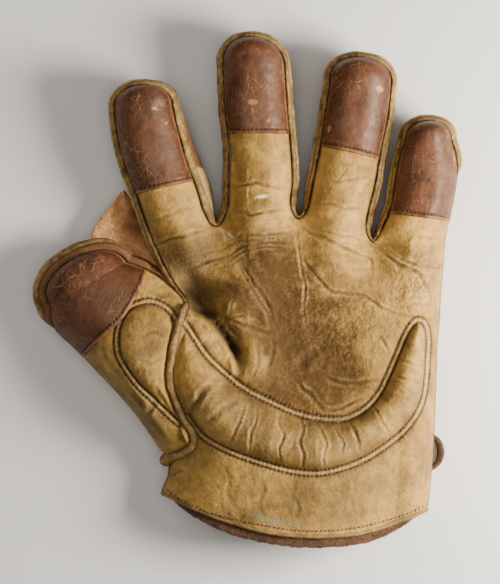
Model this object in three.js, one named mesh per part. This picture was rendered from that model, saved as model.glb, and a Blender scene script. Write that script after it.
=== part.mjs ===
// A five-fingered leather fielder's glove for the left hand, lying on its back with the palm up.
// Millimetres. +X runs from the thumb to the little finger, +Y to the fingertips, +Z up out of the palm.
// The origin is under the middle of the glove's bounding box, on the surface that it lies on.
// Every piece is a leather wall: a sheet worked out from the sections below, given its thickness.

import * as THREE from 'three';
import { mergeVertices } from 'three/addons/utils/BufferGeometryUtils.js';

// Driving sizes
const PANEL_WALL = 1.8;
const STRIP_WALL = 1.6;
const CAP_WALL = 1.2;
const PAD_WALL = 1.2;
const WEB_WALL = 2;
const FELT_WALL = 2;
const GAP = 0.3;
const PAD_GAP = 0.75;
const CAP_INSET = 0.03;
const CAP_NUDGE = 0.01;
const CAP_GAP = 0.45;

// Heights of the finger tubes above the line that their backs lie on
const FRONT_SEAM = 20.5;
const BACK_SEAM = 7;
const FINGER_CROWN = 29;
const SIDE_MIDDLE = 14;

// How far the side strips stand out of their seams. Between two fingers they stay narrow over the first
// share of the crotch's reach. Where the back leans out past the front, a strip follows it by a power of
// the way down. Round a bend a strip is set out further, up to what the sharpest bend asks for.
const STRIP_BULGE = 3.4;
const CROTCH_REACH = 12;
const CROTCH_NARROW_SHARE = 0.3;
const THUMB_STRIP_BULGE = 7;
const LEAN_POWER = 1.2;
const SHARPEST_BEND = 0.35;
const LITTLE_WRAPPED_ROWS = 4;

// Roundness of the fingertips in plan, and of the panels across the fingers
const TIP_POWER = 2.3;
const DOME_POWER = 2.5;
const WRAP_POWER = 3;
const PAD_END_POWER = 4;
const FELT_END_POWER = 6;

// Raised pads, the wrist strap and the edge trims
const HEEL_PAD_RISE = 5.5;
const THUMB_PAD_RISE = 2;
const WELT_WIDTH = 3;
const WELT_ABOVE = 1.2;
const WELT_BELOW = 3.4;
const WELT_REACH = 2.1;
const PIPING_RADIUS = 1.4;
const FELT_TUCK = 7;
const FELT_SHOW = 4.6;
const FELT_END_SHOW = 0.6;
const FELT_DROP = 2.6;
const FELT_INSET = { inner: 2.4, outer: 0.6 };
const HIGHEST = 50;
const STRAP = { left: -10, right: 92.5, middle: -77, width: 19, wall: 2.6 };
const STRAP_HOLE = { width: 3.4, length: 6, inset: 6.2 };

// Facets
const LANE_COLUMNS = 5;
const BACK_COLUMNS = 4;
const THUMB_COLUMNS = 8;
const THUMB_BACK_COLUMNS = 6;
const STRIP_COLUMNS = 3;
const HEEL_PAD_COLUMNS = 5;
const THUMB_PAD_COLUMNS = 4;
const WEB_COLUMNS = 3;
const FELT_COLUMNS = 2;
const STEPS_PER_ROW = 2;
const TIP_STEPS = 4;
const BAR_SIDES = 6;
const ARC_SEGMENTS = 6;

// Limits below which a length, an area or a share counts as nothing
const MERGE_DISTANCE = 1e-4;
const NO_AREA = 1e-9;
const NO_SHARE = 1e-6;

const COLOURS = {
  tan: { color: '#a8884c', roughness: 0.55 },
  olive: { color: '#75623a', roughness: 0.6 },
  brown: { color: '#5a2e1d', roughness: 0.35 },
  russet: { color: '#8a4d28', roughness: 0.6 },
  felt: { color: '#7d4a2c', roughness: 0.95 },
};

// The welt between thumb and palm, a row for each point from the wrist up to the thumb's root.
const WELT_ROWS = [
  { x: -36, y: -79, z: 17 },
  { x: -27, y: -74.5, z: 25 },
  { x: -25.2, y: -68, z: 29 },
  { x: -30.5, y: -58.5, z: 33 },
  { x: -35.8, y: -44, z: 36 },
  { x: -35, y: -30, z: 37 },
  { x: -32, y: -17, z: 36.5 },
  { x: -28.5, y: -7, z: 32 },
];
const WELT_TAIL = { x: -41, y: -81.5, z: 14 };

// The palm, a row for each section from the wrist to the finger roots. thumbSide, lines and outer are
// where the borders of the four finger lanes cross it; heights are the front at each border and halfway
// between; back is the height of the back of the hand. A welt number takes the thumb side from that row of
// the welt.
const PALM_ROWS = [
  { name: 'wrist', thumbSide: [-40.5, -94.5], lines: [[-8.5, -107], [19.5, -113], [52, -112]], outer: [84, -102],
    heights: [SIDE_MIDDLE, 27, 31, 33, 34, 34, 32, 27], back: 3.4, backEdge: SIDE_MIDDLE },
  { name: 'cuff', welt: 0, lines: [[-6, -91], [21, -96.5], [53, -95.5]], outer: [85.5, -88],
    heights: [17, 29, 34, 36, 36, 36, 34, 29], back: 3.4, backEdge: 13 },
  { name: 'heel', welt: 1, lines: [[-3, -79], [22, -83], [53, -82]], outer: [86.4, -76],
    heights: [25, 33, 36.5, 37.5, 37.5, 37.5, 36, 31], back: 3.4, backEdge: 4 },
  { name: 'thumb end', welt: 2, lines: [[-2, -69], [22, -72], [53, -71]], outer: [87, -66],
    heights: [29, 35, 37, 37.5, 37, 37, 36, 32], back: 3.2, backEdge: 3 },
  { name: 'low pad', welt: 3, lines: [[-4, -57], [22, -59.5], [53, -59]], outer: [87.5, -55],
    heights: [33, 36.5, 36, 34.5, 34, 35, 35.5, 33], back: 1.6, backEdge: 1.6 },
  { name: 'ball', welt: 4, lines: [[-8, -41.5], [22, -43], [53, -43]], outer: [88, -40],
    heights: [36, 36, 33.5, 31, 30, 31, 33, 33], back: 0, backEdge: 0 },
  { name: 'pocket', welt: 5, lines: [[-9, -27.5], [22, -28.5], [54, -28]], outer: [88.4, -27],
    heights: [37, 35, 30, 28.5, 28, 28.5, 31, 32], back: 0, backEdge: 0 },
  { name: 'thumb root', welt: 6, lines: [[-9, -14.5], [22.5, -14.5], [55, -14]], outer: [89.5, -15],
    heights: [36.5, 31, 29, 28, 28, 28, 30, 31.5], back: 0, backEdge: 0 },
  { name: 'hollow', welt: 7, lines: [[-10, -2.5], [23, -1], [56, -2.5]], outer: [90, -4],
    heights: [32, 22, 28, 28.5, 28, 28.5, 30, 31], back: 0, backEdge: 0 },
  { name: 'knuckles', thumbSide: [-36, 5.5], lines: [[-12, 11], [23.5, 13], [57, 9]], outer: [91, 8],
    heights: [25, 27.5, 27, 30, 28, 30, 28, 30.5], back: 0, backEdge: 3 },
  { name: 'finger roots', thumbSide: [-44, 21.5], lines: [[-14.5, 28.5], [23.5, 32], [58, 21]], outer: [92, 21],
    heights: [21, 29.5, 20.5, 29.5, 20.5, 29.5, 20.5, 29.5], back: 0, backEdge: BACK_SEAM },
];

// The fingers, a row for each section above the roots. left and right are the seams of the front panel;
// lift is how far the finger curls up there; lean is how far the back's right edge stands out past the
// front's; wrap is 1 where the outer side has no strip and the leather runs round to the back.
const FINGERS = {
  index: {
    rows: [
      { left: [-47.5, 31.5], right: [-20, 35], lift: 0.6, lean: 4 },
      { left: [-51.5, 43.5], right: [-24, 45.5], lift: 1.8, lean: 6 },
      { left: [-56.5, 56.5], right: [-29, 59], lift: 2.2, lean: 6 },
      { left: [-60, 70], right: [-32.5, 71.5], lift: 3, lean: 3.5 },
      { left: [-61.5, 83], right: [-35.5, 84], lift: 4.2, lean: 1 },
    ],
    tip: [-48.5, 93.5],
    tipLift: 6,
    capFrom: [2, 2.3],
  },
  middle: {
    rows: [
      { left: [-9.5, 37], right: [19.5, 39], lift: 0.5, lean: 0 },
      { left: [-8.5, 50], right: [20.3, 50], lift: 1.2, lean: 0 },
      { left: [-8.3, 66], right: [19.4, 66], lift: 1.8, lean: 0 },
      { left: [-10.3, 84], right: [17.8, 84], lift: 2.6, lean: 0 },
      { left: [-11, 102], right: [16.6, 102], lift: 4.2, lean: 0 },
    ],
    tip: [1.5, 115.8],
    tipLift: 6.5,
    capFrom: [3.3, 3.3],
  },
  ring: {
    rows: [
      { left: [28, 37], right: [54.6, 29.5], lift: 0.5, lean: 0 },
      { left: [31, 51], right: [58.6, 48], lift: 1.2, lean: 0 },
      { left: [34, 66], right: [61.3, 64], lift: 1.9, lean: 0 },
      { left: [36.3, 81], right: [64.5, 80], lift: 2.9, lean: 0 },
      { left: [38.6, 96], right: [66, 95.5], lift: 4.4, lean: 0 },
    ],
    tip: [51.5, 106.3],
    tipLift: 6,
    capFrom: [2.97, 2.72],
  },
  little: {
    rows: [
      { left: [63, 28.5], right: [93.2, 28.5], lift: 1.5, lean: 0, wrap: 1 },
      { left: [67, 38.5], right: [95.2, 38], lift: 2, lean: 0, wrap: 1 },
      { left: [68.8, 49], right: [97, 48.5], lift: 2.2, lean: 0, wrap: 1 },
      { left: [70.6, 60], right: [96.6, 59.5], lift: 3, lean: 0, wrap: 0.5 },
      { left: [73.6, 69], right: [93.6, 69], lift: 4.2, lean: 0, wrap: 0 },
    ],
    tip: [84, 77],
    tipLift: 5.5,
    capFrom: [1.6, 1.27],
  },
};
const FINGER_NAMES = Object.keys(FINGERS);
const LAST_PALM_ROW = PALM_ROWS.length - 1;

// The thumb, a row for each section from the wrist to its tip. left is the thumb's outer edge and right
// the edge beside the welt or, past the welt, the free inner edge. front and back are heights at left,
// crown, right.
const THUMB_ROWS = [
  { left: [-40.5, -76], welt: 0, front: [SIDE_MIDDLE, 18, 16], back: [SIDE_MIDDLE, 11, 12.5] },
  { left: [-45, -69.5], welt: 1, front: [SIDE_MIDDLE, 26.5, 24], back: [SIDE_MIDDLE, 3.5, 4] },
  { left: [-48, -65], welt: 2, front: [SIDE_MIDDLE, 31, 28], back: [SIDE_MIDDLE, 2, 3] },
  { left: [-52.8, -58.6], welt: 3, front: [SIDE_MIDDLE, 34.5, 32], back: [SIDE_MIDDLE, 1, 1.6] },
  { left: [-61, -49], welt: 4, front: [SIDE_MIDDLE, 37.5, 35], back: [SIDE_MIDDLE, 0.5, 0] },
  { left: [-69, -40.5], welt: 5, front: [SIDE_MIDDLE, 38.5, 36], back: [SIDE_MIDDLE, 0.5, 0] },
  { left: [-76, -33], welt: 6, front: [SIDE_MIDDLE, 38, 35.5], back: [SIDE_MIDDLE, 0.5, 0] },
  { left: [-82.5, -26.5], welt: 7, front: [SIDE_MIDDLE, 36.5, 31], back: [SIDE_MIDDLE, 0.5, 0] },
  { left: [-87.5, -22], right: [-38, 2.5], front: [15, 34.5, 24], back: [12, 0.8, 4] },
  { left: [-90.6, -16.5], right: [-47, 8.3], front: [18.5, 32, 21.5], back: [9, 1.5, 6.5] },
  { left: [-91, -8.5], right: [-56.5, 11.8], front: [20.5, 30.5, 21], back: [8, 2.5, 7.5] },
];
const THUMB_TIP = { point: [-81.5, 12.6], frontLift: 22, backLift: 9 };
const THUMB_CAP_FROM = [6.1, 9];
const THUMB_CAP_BOW = 0.25;
const THUMB_STRIP_FROM = { left: 8.3, right: 8 };

// The padded crescent on the heel, a row for each section from the welt round to its tip by the little
// finger.
const HEEL_PAD_ROWS = [
  { inner: [-27.5, -17.5], outer: [-29.8, -22] },
  { inner: [-22.5, -26.5], outer: [-32, -36] },
  { inner: [-15.5, -35], outer: [-31.5, -49] },
  { inner: [-7, -43], outer: [-24.5, -63] },
  { inner: [4.5, -50.5], outer: [-9, -75] },
  { inner: [18, -56.5], outer: [11, -82] },
  { inner: [32, -60.3], outer: [32, -85] },
  { inner: [45, -60.5], outer: [52, -80.5] },
  { inner: [55, -54.5], outer: [68, -69] },
  { inner: [62, -45.5], outer: [77.5, -56] },
  { inner: [67, -34.5], outer: [80.8, -42] },
  { inner: [72, -24.5], outer: [81, -27.5] },
  { inner: [75.3, -18.7], outer: [79.2, -19] },
];

// The padded leaf on the thumb, a row for each section from its round end down to its point on the welt.
const THUMB_PAD_ROWS = [
  { inner: [-42, -8.8], outer: [-48, -8.6] },
  { inner: [-38.3, -12], outer: [-55, -12.2] },
  { inner: [-36.8, -19], outer: [-59, -22] },
  { inner: [-38, -29.5], outer: [-57, -33] },
  { inner: [-38.8, -40], outer: [-50.5, -43.5] },
  { inner: [-37.2, -49], outer: [-42.5, -51] },
];

// The web between thumb and index finger, a row for each section from its root up to its narrow top end.
const WEB_ROWS = [
  { thumbEdge: [-43.2, 10.6], indexEdge: [-41.8, 11.8] },
  { thumbEdge: [-50, 14.2], indexEdge: [-45.7, 18] },
  { thumbEdge: [-58.5, 18.2], indexEdge: [-49.3, 24.5] },
  { thumbEdge: [-67.5, 22.6], indexEdge: [-52.5, 31.5] },
  { thumbEdge: [-69.5, 30.5], indexEdge: [-55.8, 38.5] },
  { thumbEdge: [-65.5, 38], indexEdge: [-58.2, 43.5] },
  { thumbEdge: [-61.5, 43.5], indexEdge: [-60.2, 46.5] },
];
const WEB_TOP = 9.5;

// Vectors of any length
const add = (a, b, factor = 1) => a.map((value, axis) => value + factor * b[axis]);
const mix = (a, b, share) => a.map((value, axis) => value + (b[axis] - value) * share);
const mixNumber = (a, b, share) => a + (b - a) * share;
const length = (a) => Math.hypot(...a);
const unit = (a) => a.map((value) => value / length(a));
const cross = (a, b) => [a[1] * b[2] - a[2] * b[1], a[2] * b[0] - a[0] * b[2], a[0] * b[1] - a[1] * b[0]];
const steps = (count) => Array.from({ length: count + 1 }, (_, index) => index / count);

// A smooth curve through rows of numbers, four of which shape each stretch.
function blendRows(before, from, to, after, share) {
  return from.map((value, axis) => {
    const [p0, p1, p2, p3] = [before[axis], value, to[axis], after[axis]];
    const slope = p2 - p0;
    const curve = 2 * p0 - 5 * p1 + 4 * p2 - p3;
    const twist = 3 * p1 - p0 - 3 * p2 + p3;
    return p1 + 0.5 * share * (slope + share * (curve + share * twist));
  });
}

function spline(rows, place) {
  const index = Math.min(Math.floor(place), rows.length - 2);
  const [from, to] = [rows[index], rows[index + 1]];
  const before = rows[index - 1] ?? mix(from, to, -1);
  const after = rows[index + 2] ?? mix(to, from, -1);
  return blendRows(before, from, to, after, place - index);
}

// The height across a panel: 0 at its seams and 1 along its crown. Each half has its own power.
function dome(across, leftPower = DOME_POWER, rightPower = DOME_POWER) {
  const out = Math.abs(2 * across - 1);
  return 1 - out ** (across < 0.5 ? leftPower : rightPower);
}

function crownedHeight(across, left, crown, right, rightPower) {
  const seam = across < 0.5 ? left : right;
  return seam + (crown - seam) * dome(across, DOME_POWER, rightPower);
}

// The point beside a row of the welt: side is 1 on the palm and -1 on the thumb.
function besideWelt(row, side, reach) {
  const here = WELT_ROWS[row];
  const next = WELT_ROWS[row + 1] ?? here;
  const previous = WELT_ROWS[row - 1] ?? WELT_TAIL;
  const way = unit([next.x - previous.x, next.y - previous.y]);
  return [here.x + side * reach * way[1], here.y - side * reach * way[0]];
}

// Front and back meet edge to edge at the middle of the side, and the front panels on either hand of
// the welt.
const FACES = {
  front: {
    sideHeight: SIDE_MIDDLE + GAP / 2,
    lowest: SIDE_MIDDLE + GAP / 2,
    highest: HIGHEST,
    weltReach: WELT_REACH,
  },
  back: { sideHeight: SIDE_MIDDLE - GAP / 2, lowest: 0, highest: SIDE_MIDDLE - GAP / 2, weltReach: GAP / 2 },
};

function palmSection(row, lane, face, across) {
  const start = row.thumbSide ?? besideWelt(row.welt, 1, FACES[face].weltReach);
  const place = lane + across;
  const [x, y] = spline([start, ...row.lines, row.outer], place);
  const { sideHeight } = FACES[face];
  const lastHeight = row.heights.length - 1;
  if (place > row.lines.length + 0.5) {
    const crown = face === 'front' ? row.heights[lastHeight] : row.back;
    return [x, y, crownedHeight(across, crown, crown, sideHeight, WRAP_POWER)];
  }
  if (face === 'front') {
    return [x, y, spline(row.heights.map((height) => [height]), Math.min(2 * place, lastHeight))[0]];
  }
  const isRoots = row === PALM_ROWS[LAST_PALM_ROW];
  const edge = isRoots || place < 1 ? row.backEdge : row.back;
  const farEdge = isRoots ? row.backEdge : row.back;
  return [x, y, crownedHeight(across, edge, row.back, farEdge)];
}

function fingerSection(row, face, across) {
  const right = face === 'back' ? add(row.right, [row.lean, 0]) : row.right;
  const [x, y] = mix(row.left, right, across);
  const seam = (face === 'front' ? FRONT_SEAM : BACK_SEAM) + row.lift;
  const crown = (face === 'front' ? FINGER_CROWN : 0) + row.lift;
  const wrap = row.wrap ?? 0;
  const farSeam = mixNumber(seam, FACES[face].sideHeight, wrap);
  return [x, y, crownedHeight(across, seam, crown, farSeam, mixNumber(DOME_POWER, WRAP_POWER, wrap))];
}

function thumbSection(row, face, across) {
  const right = row.right ?? besideWelt(row.welt, -1, FACES[face].weltReach);
  const [x, y] = mix(row.left, right, across);
  const [leftHeight, crown, rightHeight] = row[face];
  const nudge = leftHeight === SIDE_MIDDLE ? FACES[face].sideHeight - SIDE_MIDDLE : 0;
  return [x, y, crownedHeight(across, leftHeight + nudge, crown, rightHeight)];
}

// A sheet through a list of sections, then round to a point at its tip. along counts the sections, and the
// last stretch is the tip. At the fork row, a border that two sheets share takes no notice of the rows
// past it.
function sheetThrough(sections, tip, face, fork = -1) {
  const last = sections.length - 1;
  const { lowest, highest } = FACES[face];
  const inReach = ([x, y, z]) => [x, y, Math.min(highest, Math.max(lowest, z))];
  return (along, across) => {
    if (along > last) return inReach(tipPoint(sections[last], tip, along - last, across));
    const index = Math.min(Math.floor(along), last - 1);
    const share = Math.sin(Math.PI * across);
    const [from, to] = [sections[index](across), sections[index + 1](across)];
    let before = index > 0 ? sections[index - 1](across) : mix(from, to, -1);
    let after = index + 2 <= last ? sections[index + 2](across) : mix(to, from, -1);
    if (index + 1 === fork) after = mix(mix(to, from, -1), after, share);
    if (index === fork) before = mix(mix(from, to, -1), before, share);
    return inReach(blendRows(before, from, to, after, along - index));
  };
}

function tipPoint(section, tip, share, across) {
  const forward = Math.sin(share * Math.PI / 2);
  const width = Math.max(0, 1 - forward ** TIP_POWER) ** (1 / TIP_POWER);
  const here = section(across);
  const seamLine = mix(section(0), section(1), across);
  const middle = mix(section(0), section(1), 0.5);
  const centre = mix(middle, tip, forward);
  return [
    centre[0] + (here[0] - middle[0]) * width,
    centre[1] + (here[1] - middle[1]) * width,
    mixNumber(seamLine[2], tip[2], forward) + (here[2] - seamLine[2]) * width,
  ];
}

function fingerSheet(name, face) {
  const finger = FINGERS[name];
  const lane = FINGER_NAMES.indexOf(name);
  const sections = [
    ...PALM_ROWS.map((row) => (across) => palmSection(row, lane, face, across)),
    ...finger.rows.map((row) => (across) => fingerSection(row, face, across)),
  ];
  const seam = face === 'front' ? FRONT_SEAM : BACK_SEAM;
  const last = finger.rows[finger.rows.length - 1];
  const tipX = finger.tip[0] + (face === 'back' ? last.lean / 2 : 0);
  return sheetThrough(sections, [tipX, finger.tip[1], seam + finger.tipLift], face, LAST_PALM_ROW);
}

function thumbSheet(face) {
  const sections = THUMB_ROWS.map((row) => (across) => thumbSection(row, face, across));
  const lift = face === 'front' ? THUMB_TIP.frontLift : THUMB_TIP.backLift;
  return sheetThrough(sections, [...THUMB_TIP.point, lift], face);
}

const lastRow = (name) => LAST_PALM_ROW + FINGERS[name].rows.length;

function placesBetween(from, to, perRow) {
  const count = Math.max(1, Math.round((to - from) * perRow));
  return steps(count).map((share) => mixNumber(from, to, share));
}

// Places along a sheet, evenly between its rows and then round its tip.
function placesAlong(from, last) {
  const tip = steps(TIP_STEPS).slice(1).map((share) => last + share);
  return [...placesBetween(from, last, STEPS_PER_ROW), ...tip];
}

// Triangles of a grid of points whose rows run along and whose columns run across.
function gridTriangles(grid) {
  const triangles = [];
  for (let row = 0; row + 1 < grid.length; row += 1) {
    for (let column = 0; column + 1 < grid[row].length; column += 1) {
      const [a, b] = [grid[row][column], grid[row][column + 1]];
      const [c, d] = [grid[row + 1][column + 1], grid[row + 1][column]];
      triangles.push([a, b, c], [a, c, d]);
    }
  }
  return triangles;
}

const STEEP_EDGE = 0.85;
const KEY_DIGITS = 3;
const key = (point) => point.map((value) => value.toFixed(KEY_DIGITS)).join(' ');

// Shared vertices, their normals and the open border of a set of triangles.
function weld(triangles) {
  const numbers = new Map();
  const points = [];
  const faces = [];
  const number = (point) => {
    const name = key(point);
    if (!numbers.has(name)) numbers.set(name, points.push(point) - 1);
    return numbers.get(name);
  };
  for (const triangle of triangles) {
    const face = triangle.map(number);
    if (new Set(face).size === 3) faces.push(face);
  }
  const normals = points.map(() => [0, 0, 0]);
  const edges = new Map();
  for (const face of faces) {
    const [a, b, c] = face.map((index) => points[index]);
    const normal = cross(add(b, a, -1), add(c, a, -1));
    for (let side = 0; side < 3; side += 1) {
      const [from, to] = [face[side], face[(side + 1) % 3]];
      normals[from] = add(normals[from], normal);
      if (edges.has(`${to} ${from}`)) edges.delete(`${to} ${from}`);
      else edges.set(`${from} ${to}`, [from, to]);
    }
  }
  return { points, faces, normals: normals.map(unit), border: [...edges.values()] };
}

function solidFrom(points, faces) {
  const geometry = new THREE.BufferGeometry();
  geometry.setAttribute('position', new THREE.Float32BufferAttribute(points.flat(), 3));
  geometry.setIndex(faces.flat());
  return mergeVertices(geometry, MERGE_DISTANCE);
}

// A leather panel: an outer sheet, closed with an inner one a wall's thickness below it. Where the
// surface stands steep at its edge, that edge is cut level, and the inner sheet never reaches out past
// the outer one.
function panel(triangles, wall) {
  const { points, faces, normals, border } = weld(triangles);
  const outward = new Map();
  for (const [from, to] of border) {
    const side = cross(add(points[to], points[from], -1), normals[from]);
    for (const end of [from, to]) outward.set(end, add(outward.get(end) ?? [0, 0, 0], unit(side)));
  }
  const inner = points.map((point, index) => {
    const normal = normals[index];
    const away = outward.get(index);
    if (!away) return add(point, normal, -wall);
    const level = Math.abs(normal[2]) < STEEP_EDGE ? unit([normal[0], normal[1], 0]) : normal;
    const out = unit([away[0], away[1], 0]);
    const reach = -wall * (level[0] * out[0] + level[1] * out[1]);
    return add(add(point, level, -wall), out, -Math.max(0, reach));
  });
  const count = points.length;
  const walls = border.flatMap(([from, to]) => [[to, from, from + count], [to, from + count, to + count]]);
  const inside = faces.map(([a, b, c]) => [a + count, c + count, b + count]);
  return solidFrom([...points, ...inner], [...faces, ...inside, ...walls]);
}

const turned = (triangles) => triangles.map(([a, b, c]) => [a, c, b]);

function gridOf(sheet, alongPlaces, acrossPlaces) {
  return alongPlaces.map((along) => acrossPlaces.map((across) => sheet(along, across)));
}

// Front or back of the hand, with its fingers
function handTriangles(face, columns, palmStepsPerRow) {
  const palmPlaces = placesBetween(0, LAST_PALM_ROW, palmStepsPerRow);
  return FINGER_NAMES.flatMap((name) => {
    const places = [...palmPlaces, ...placesAlong(LAST_PALM_ROW, lastRow(name)).slice(1)];
    return gridTriangles(gridOf(fingerSheet(name, face), places, steps(columns)));
  });
}

const LAST_THUMB_ROW = THUMB_ROWS.length - 1;
const palmTriangles = handTriangles('front', LANE_COLUMNS, STEPS_PER_ROW);
const thumbPlaces = placesAlong(0, LAST_THUMB_ROW);
const thumbTriangles = gridTriangles(gridOf(thumbSheet('front'), thumbPlaces, steps(THUMB_COLUMNS)));

function backPanel() {
  return panel(turned(handTriangles('back', BACK_COLUMNS, 1)), PANEL_WALL);
}

function thumbBack() {
  const free = THUMB_STRIP_FROM.right;
  const places = [...placesBetween(0, free, 1), ...placesAlong(free, LAST_THUMB_ROW).slice(1)];
  const grid = gridOf(thumbSheet('back'), places, steps(THUMB_BACK_COLUMNS));
  return panel(turned(gridTriangles(grid)), PANEL_WALL);
}

// A fingertip cap lies on the panel below it, just inside its seams. from gives the places of its lower
// edge at the left and right seams, and bow how far the middle of that edge dips below them.
function capOn(sheet, face, { from, last, columns, bow = 0 }) {
  const acrossPlaces = steps(columns).map((share) => mixNumber(CAP_INSET, 1 - CAP_INSET, share));
  const rows = placesAlong(Math.min(...from), last).slice(0, -1);
  const span = rows[0];
  const stops = rows.map((row) => acrossPlaces.map((across) => {
    const start = mixNumber(from[0], from[1], across) - bow * Math.sin(Math.PI * across);
    const along = row > last ? row : last - (last - row) * (last - start) / (last - span);
    const point = sheet(along, across);
    const ahead = add(sheet(along + CAP_NUDGE, across), point, -1);
    const aside = add(sheet(along, across + CAP_NUDGE), point, -1);
    return { point, normal: unit(cross(aside, ahead)) };
  }));
  const side = face === 'front' ? 1 : -1;
  const liftRow = (row, lift) => row.map(({ point, normal }) => add(point, normal, side * lift));
  const lifted = (lift) => stops.map((row) => liftRow(row, lift));
  return slab(lifted(CAP_GAP + CAP_WALL), lifted(CAP_GAP), face === 'back');
}

// A closed solid between an outer and an inner grid of points of the same size.
function slab(outer, inner, flip = false) {
  const count = outer.flat().length;
  const width = outer[0].length;
  const faces = [];
  const at = (row, column) => row * width + column;
  for (let row = 0; row + 1 < outer.length; row += 1) {
    for (let column = 0; column + 1 < width; column += 1) {
      const corners = [at(row, column), at(row, column + 1), at(row + 1, column + 1), at(row + 1, column)];
      const [a, b, c, d] = corners;
      faces.push([a, b, c], [a, c, d]);
      faces.push([a + count, c + count, b + count], [a + count, d + count, c + count]);
    }
  }
  const bottom = outer.length - 1;
  const rim = [
    ...outer[0].map((_, column) => at(0, column)),
    ...outer.slice(1).map((_, row) => at(row + 1, width - 1)),
    ...outer[bottom].slice(1).map((_, column) => at(bottom, width - 2 - column)),
    ...outer.slice(1, -1).map((_, row) => at(bottom - 1 - row, 0)),
  ];
  rim.forEach((from, index) => {
    const to = rim[(index + 1) % rim.length];
    faces.push([to, from, from + count], [to, from + count, to + count]);
  });
  const points = [...outer.flat(), ...inner.flat()];
  return solidFrom(points, flip ? turned(faces) : faces);
}

// The seam line along one side of a finger, from its root to its tip, with the place of the back seam
// below it.
function seamLine(name, across) {
  const front = fingerSheet(name, 'front');
  const back = fingerSheet(name, 'back');
  const places = placesAlong(LAST_PALM_ROW, lastRow(name));
  const stop = (place) => ({ front: front(place, across), back: back(place, across), bulge: STRIP_BULGE });
  return places.map(stop);
}

// A side strip between the front seam and the back seam. Its line runs with the finger on its right hand.
function sideStrip(line) {
  const rows = line.map((stop, index) => {
    const before = line[index - 1] ?? stop;
    const after = line[index + 1] ?? stop;
    const wayIn = index > 0 ? unit(add(stop.front, before.front, -1).slice(0, 2)) : null;
    const wayOut = index + 1 < line.length ? unit(add(after.front, stop.front, -1).slice(0, 2)) : null;
    const way = unit(add(wayIn ?? wayOut, wayOut ?? wayIn));
    const bend = wayIn && wayOut ? Math.max(SHARPEST_BEND, way[0] * wayIn[0] + way[1] * wayIn[1]) : 1;
    const outward = [-way[1] / bend, way[0] / bend, 0];
    return { stop, outward };
  });
  const lay = (reach) => rows.map(({ stop, outward }) => steps(STRIP_COLUMNS).map((down) => {
    const lean = [stop.back[0] - stop.front[0], stop.back[1] - stop.front[1], 0];
    const bulge = (stop.bulge - STRIP_WALL - GAP) * Math.sin(Math.PI * down);
    const side = add(add(stop.front, lean, down ** LEAN_POWER), outward, reach + bulge);
    return [side[0], side[1], mixNumber(stop.front[2], stop.back[2], down)];
  }));
  return slab(lay(GAP + STRIP_WALL), lay(GAP), true);
}

// Two strips in one, up one finger and down the next, which narrow where they meet between the fingers.
function forkStrip(leftName, rightName) {
  const ease = (line) => line.map((stop) => {
    const reach = length(add(stop.front, line[0].front, -1));
    const share = Math.min(1, Math.max(0, reach / CROTCH_REACH - CROTCH_NARROW_SHARE));
    return { ...stop, bulge: mixNumber(STRIP_WALL + GAP, STRIP_BULGE, share) };
  });
  const left = ease(seamLine(leftName, 1)).reverse();
  const right = ease(seamLine(rightName, 0));
  return sideStrip([...left, ...right.slice(1)]);
}

function indexSideStrip() {
  return sideStrip(seamLine('index', 0));
}

function littleTipStrip() {
  const line = seamLine('little', 1).reverse();
  const wrapped = STEPS_PER_ROW * LITTLE_WRAPPED_ROWS;
  return sideStrip(line.slice(0, line.length - wrapped));
}

// A strip round the thumb's tip, from its outer edge to the end of its free inner edge.
function thumbSideStrip() {
  const front = thumbSheet('front');
  const back = thumbSheet('back');
  const stop = (place, across, bulge) => ({ front: front(place, across), back: back(place, across), bulge });
  const { left, right } = THUMB_STRIP_FROM;
  const up = placesAlong(left, LAST_THUMB_ROW).map((place) => stop(place, 0, THUMB_STRIP_BULGE));
  const down = placesAlong(right, LAST_THUMB_ROW).map((place) => {
    const share = (place - right) / (LAST_THUMB_ROW + 1 - right);
    return stop(place, 1, mixNumber(STRIP_BULGE, THUMB_STRIP_BULGE, share));
  }).reverse();
  return sideStrip([...up, ...down.slice(1)]);
}

// The height of a faceted sheet at a point of the plan
function heightOn(triangles, [x, y]) {
  let best = -Infinity;
  for (const [a, b, c] of triangles) {
    const area = (b[0] - a[0]) * (c[1] - a[1]) - (c[0] - a[0]) * (b[1] - a[1]);
    if (Math.abs(area) < NO_AREA) continue;
    const u = ((x - a[0]) * (c[1] - a[1]) - (c[0] - a[0]) * (y - a[1])) / area;
    const v = ((b[0] - a[0]) * (y - a[1]) - (x - a[0]) * (b[1] - a[1])) / area;
    if (u >= -NO_SHARE && v >= -NO_SHARE && u + v <= 1 + NO_SHARE) {
      best = Math.max(best, a[2] + u * (b[2] - a[2]) + v * (c[2] - a[2]));
    }
  }
  return best;
}

// A stitched-down pad follows the sheet below it and swells in its middle, less towards its ends.
function padOn(triangles, table, rise, columns) {
  const last = table.length - 1;
  const edges = table.map((row) => [...row.inner, ...row.outer]);
  const rows = steps(last * STEPS_PER_ROW).map((share) => ({ share, edge: spline(edges, share * last) }));
  const base = rows.map(({ edge }) => steps(columns).map((across) => {
    const [x, y] = mix(edge.slice(0, 2), edge.slice(2), across);
    return [x, y, heightOn(triangles, [x, y]) + PAD_GAP];
  }));
  const top = base.map((row, index) => row.map((point, column) => {
    const { share } = rows[index];
    const swell = rise * dome(column / columns) * dome(share, PAD_END_POWER, PAD_END_POWER);
    return add(point, [0, 0, PAD_WALL + swell]);
  }));
  return slab(top, base);
}

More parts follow.
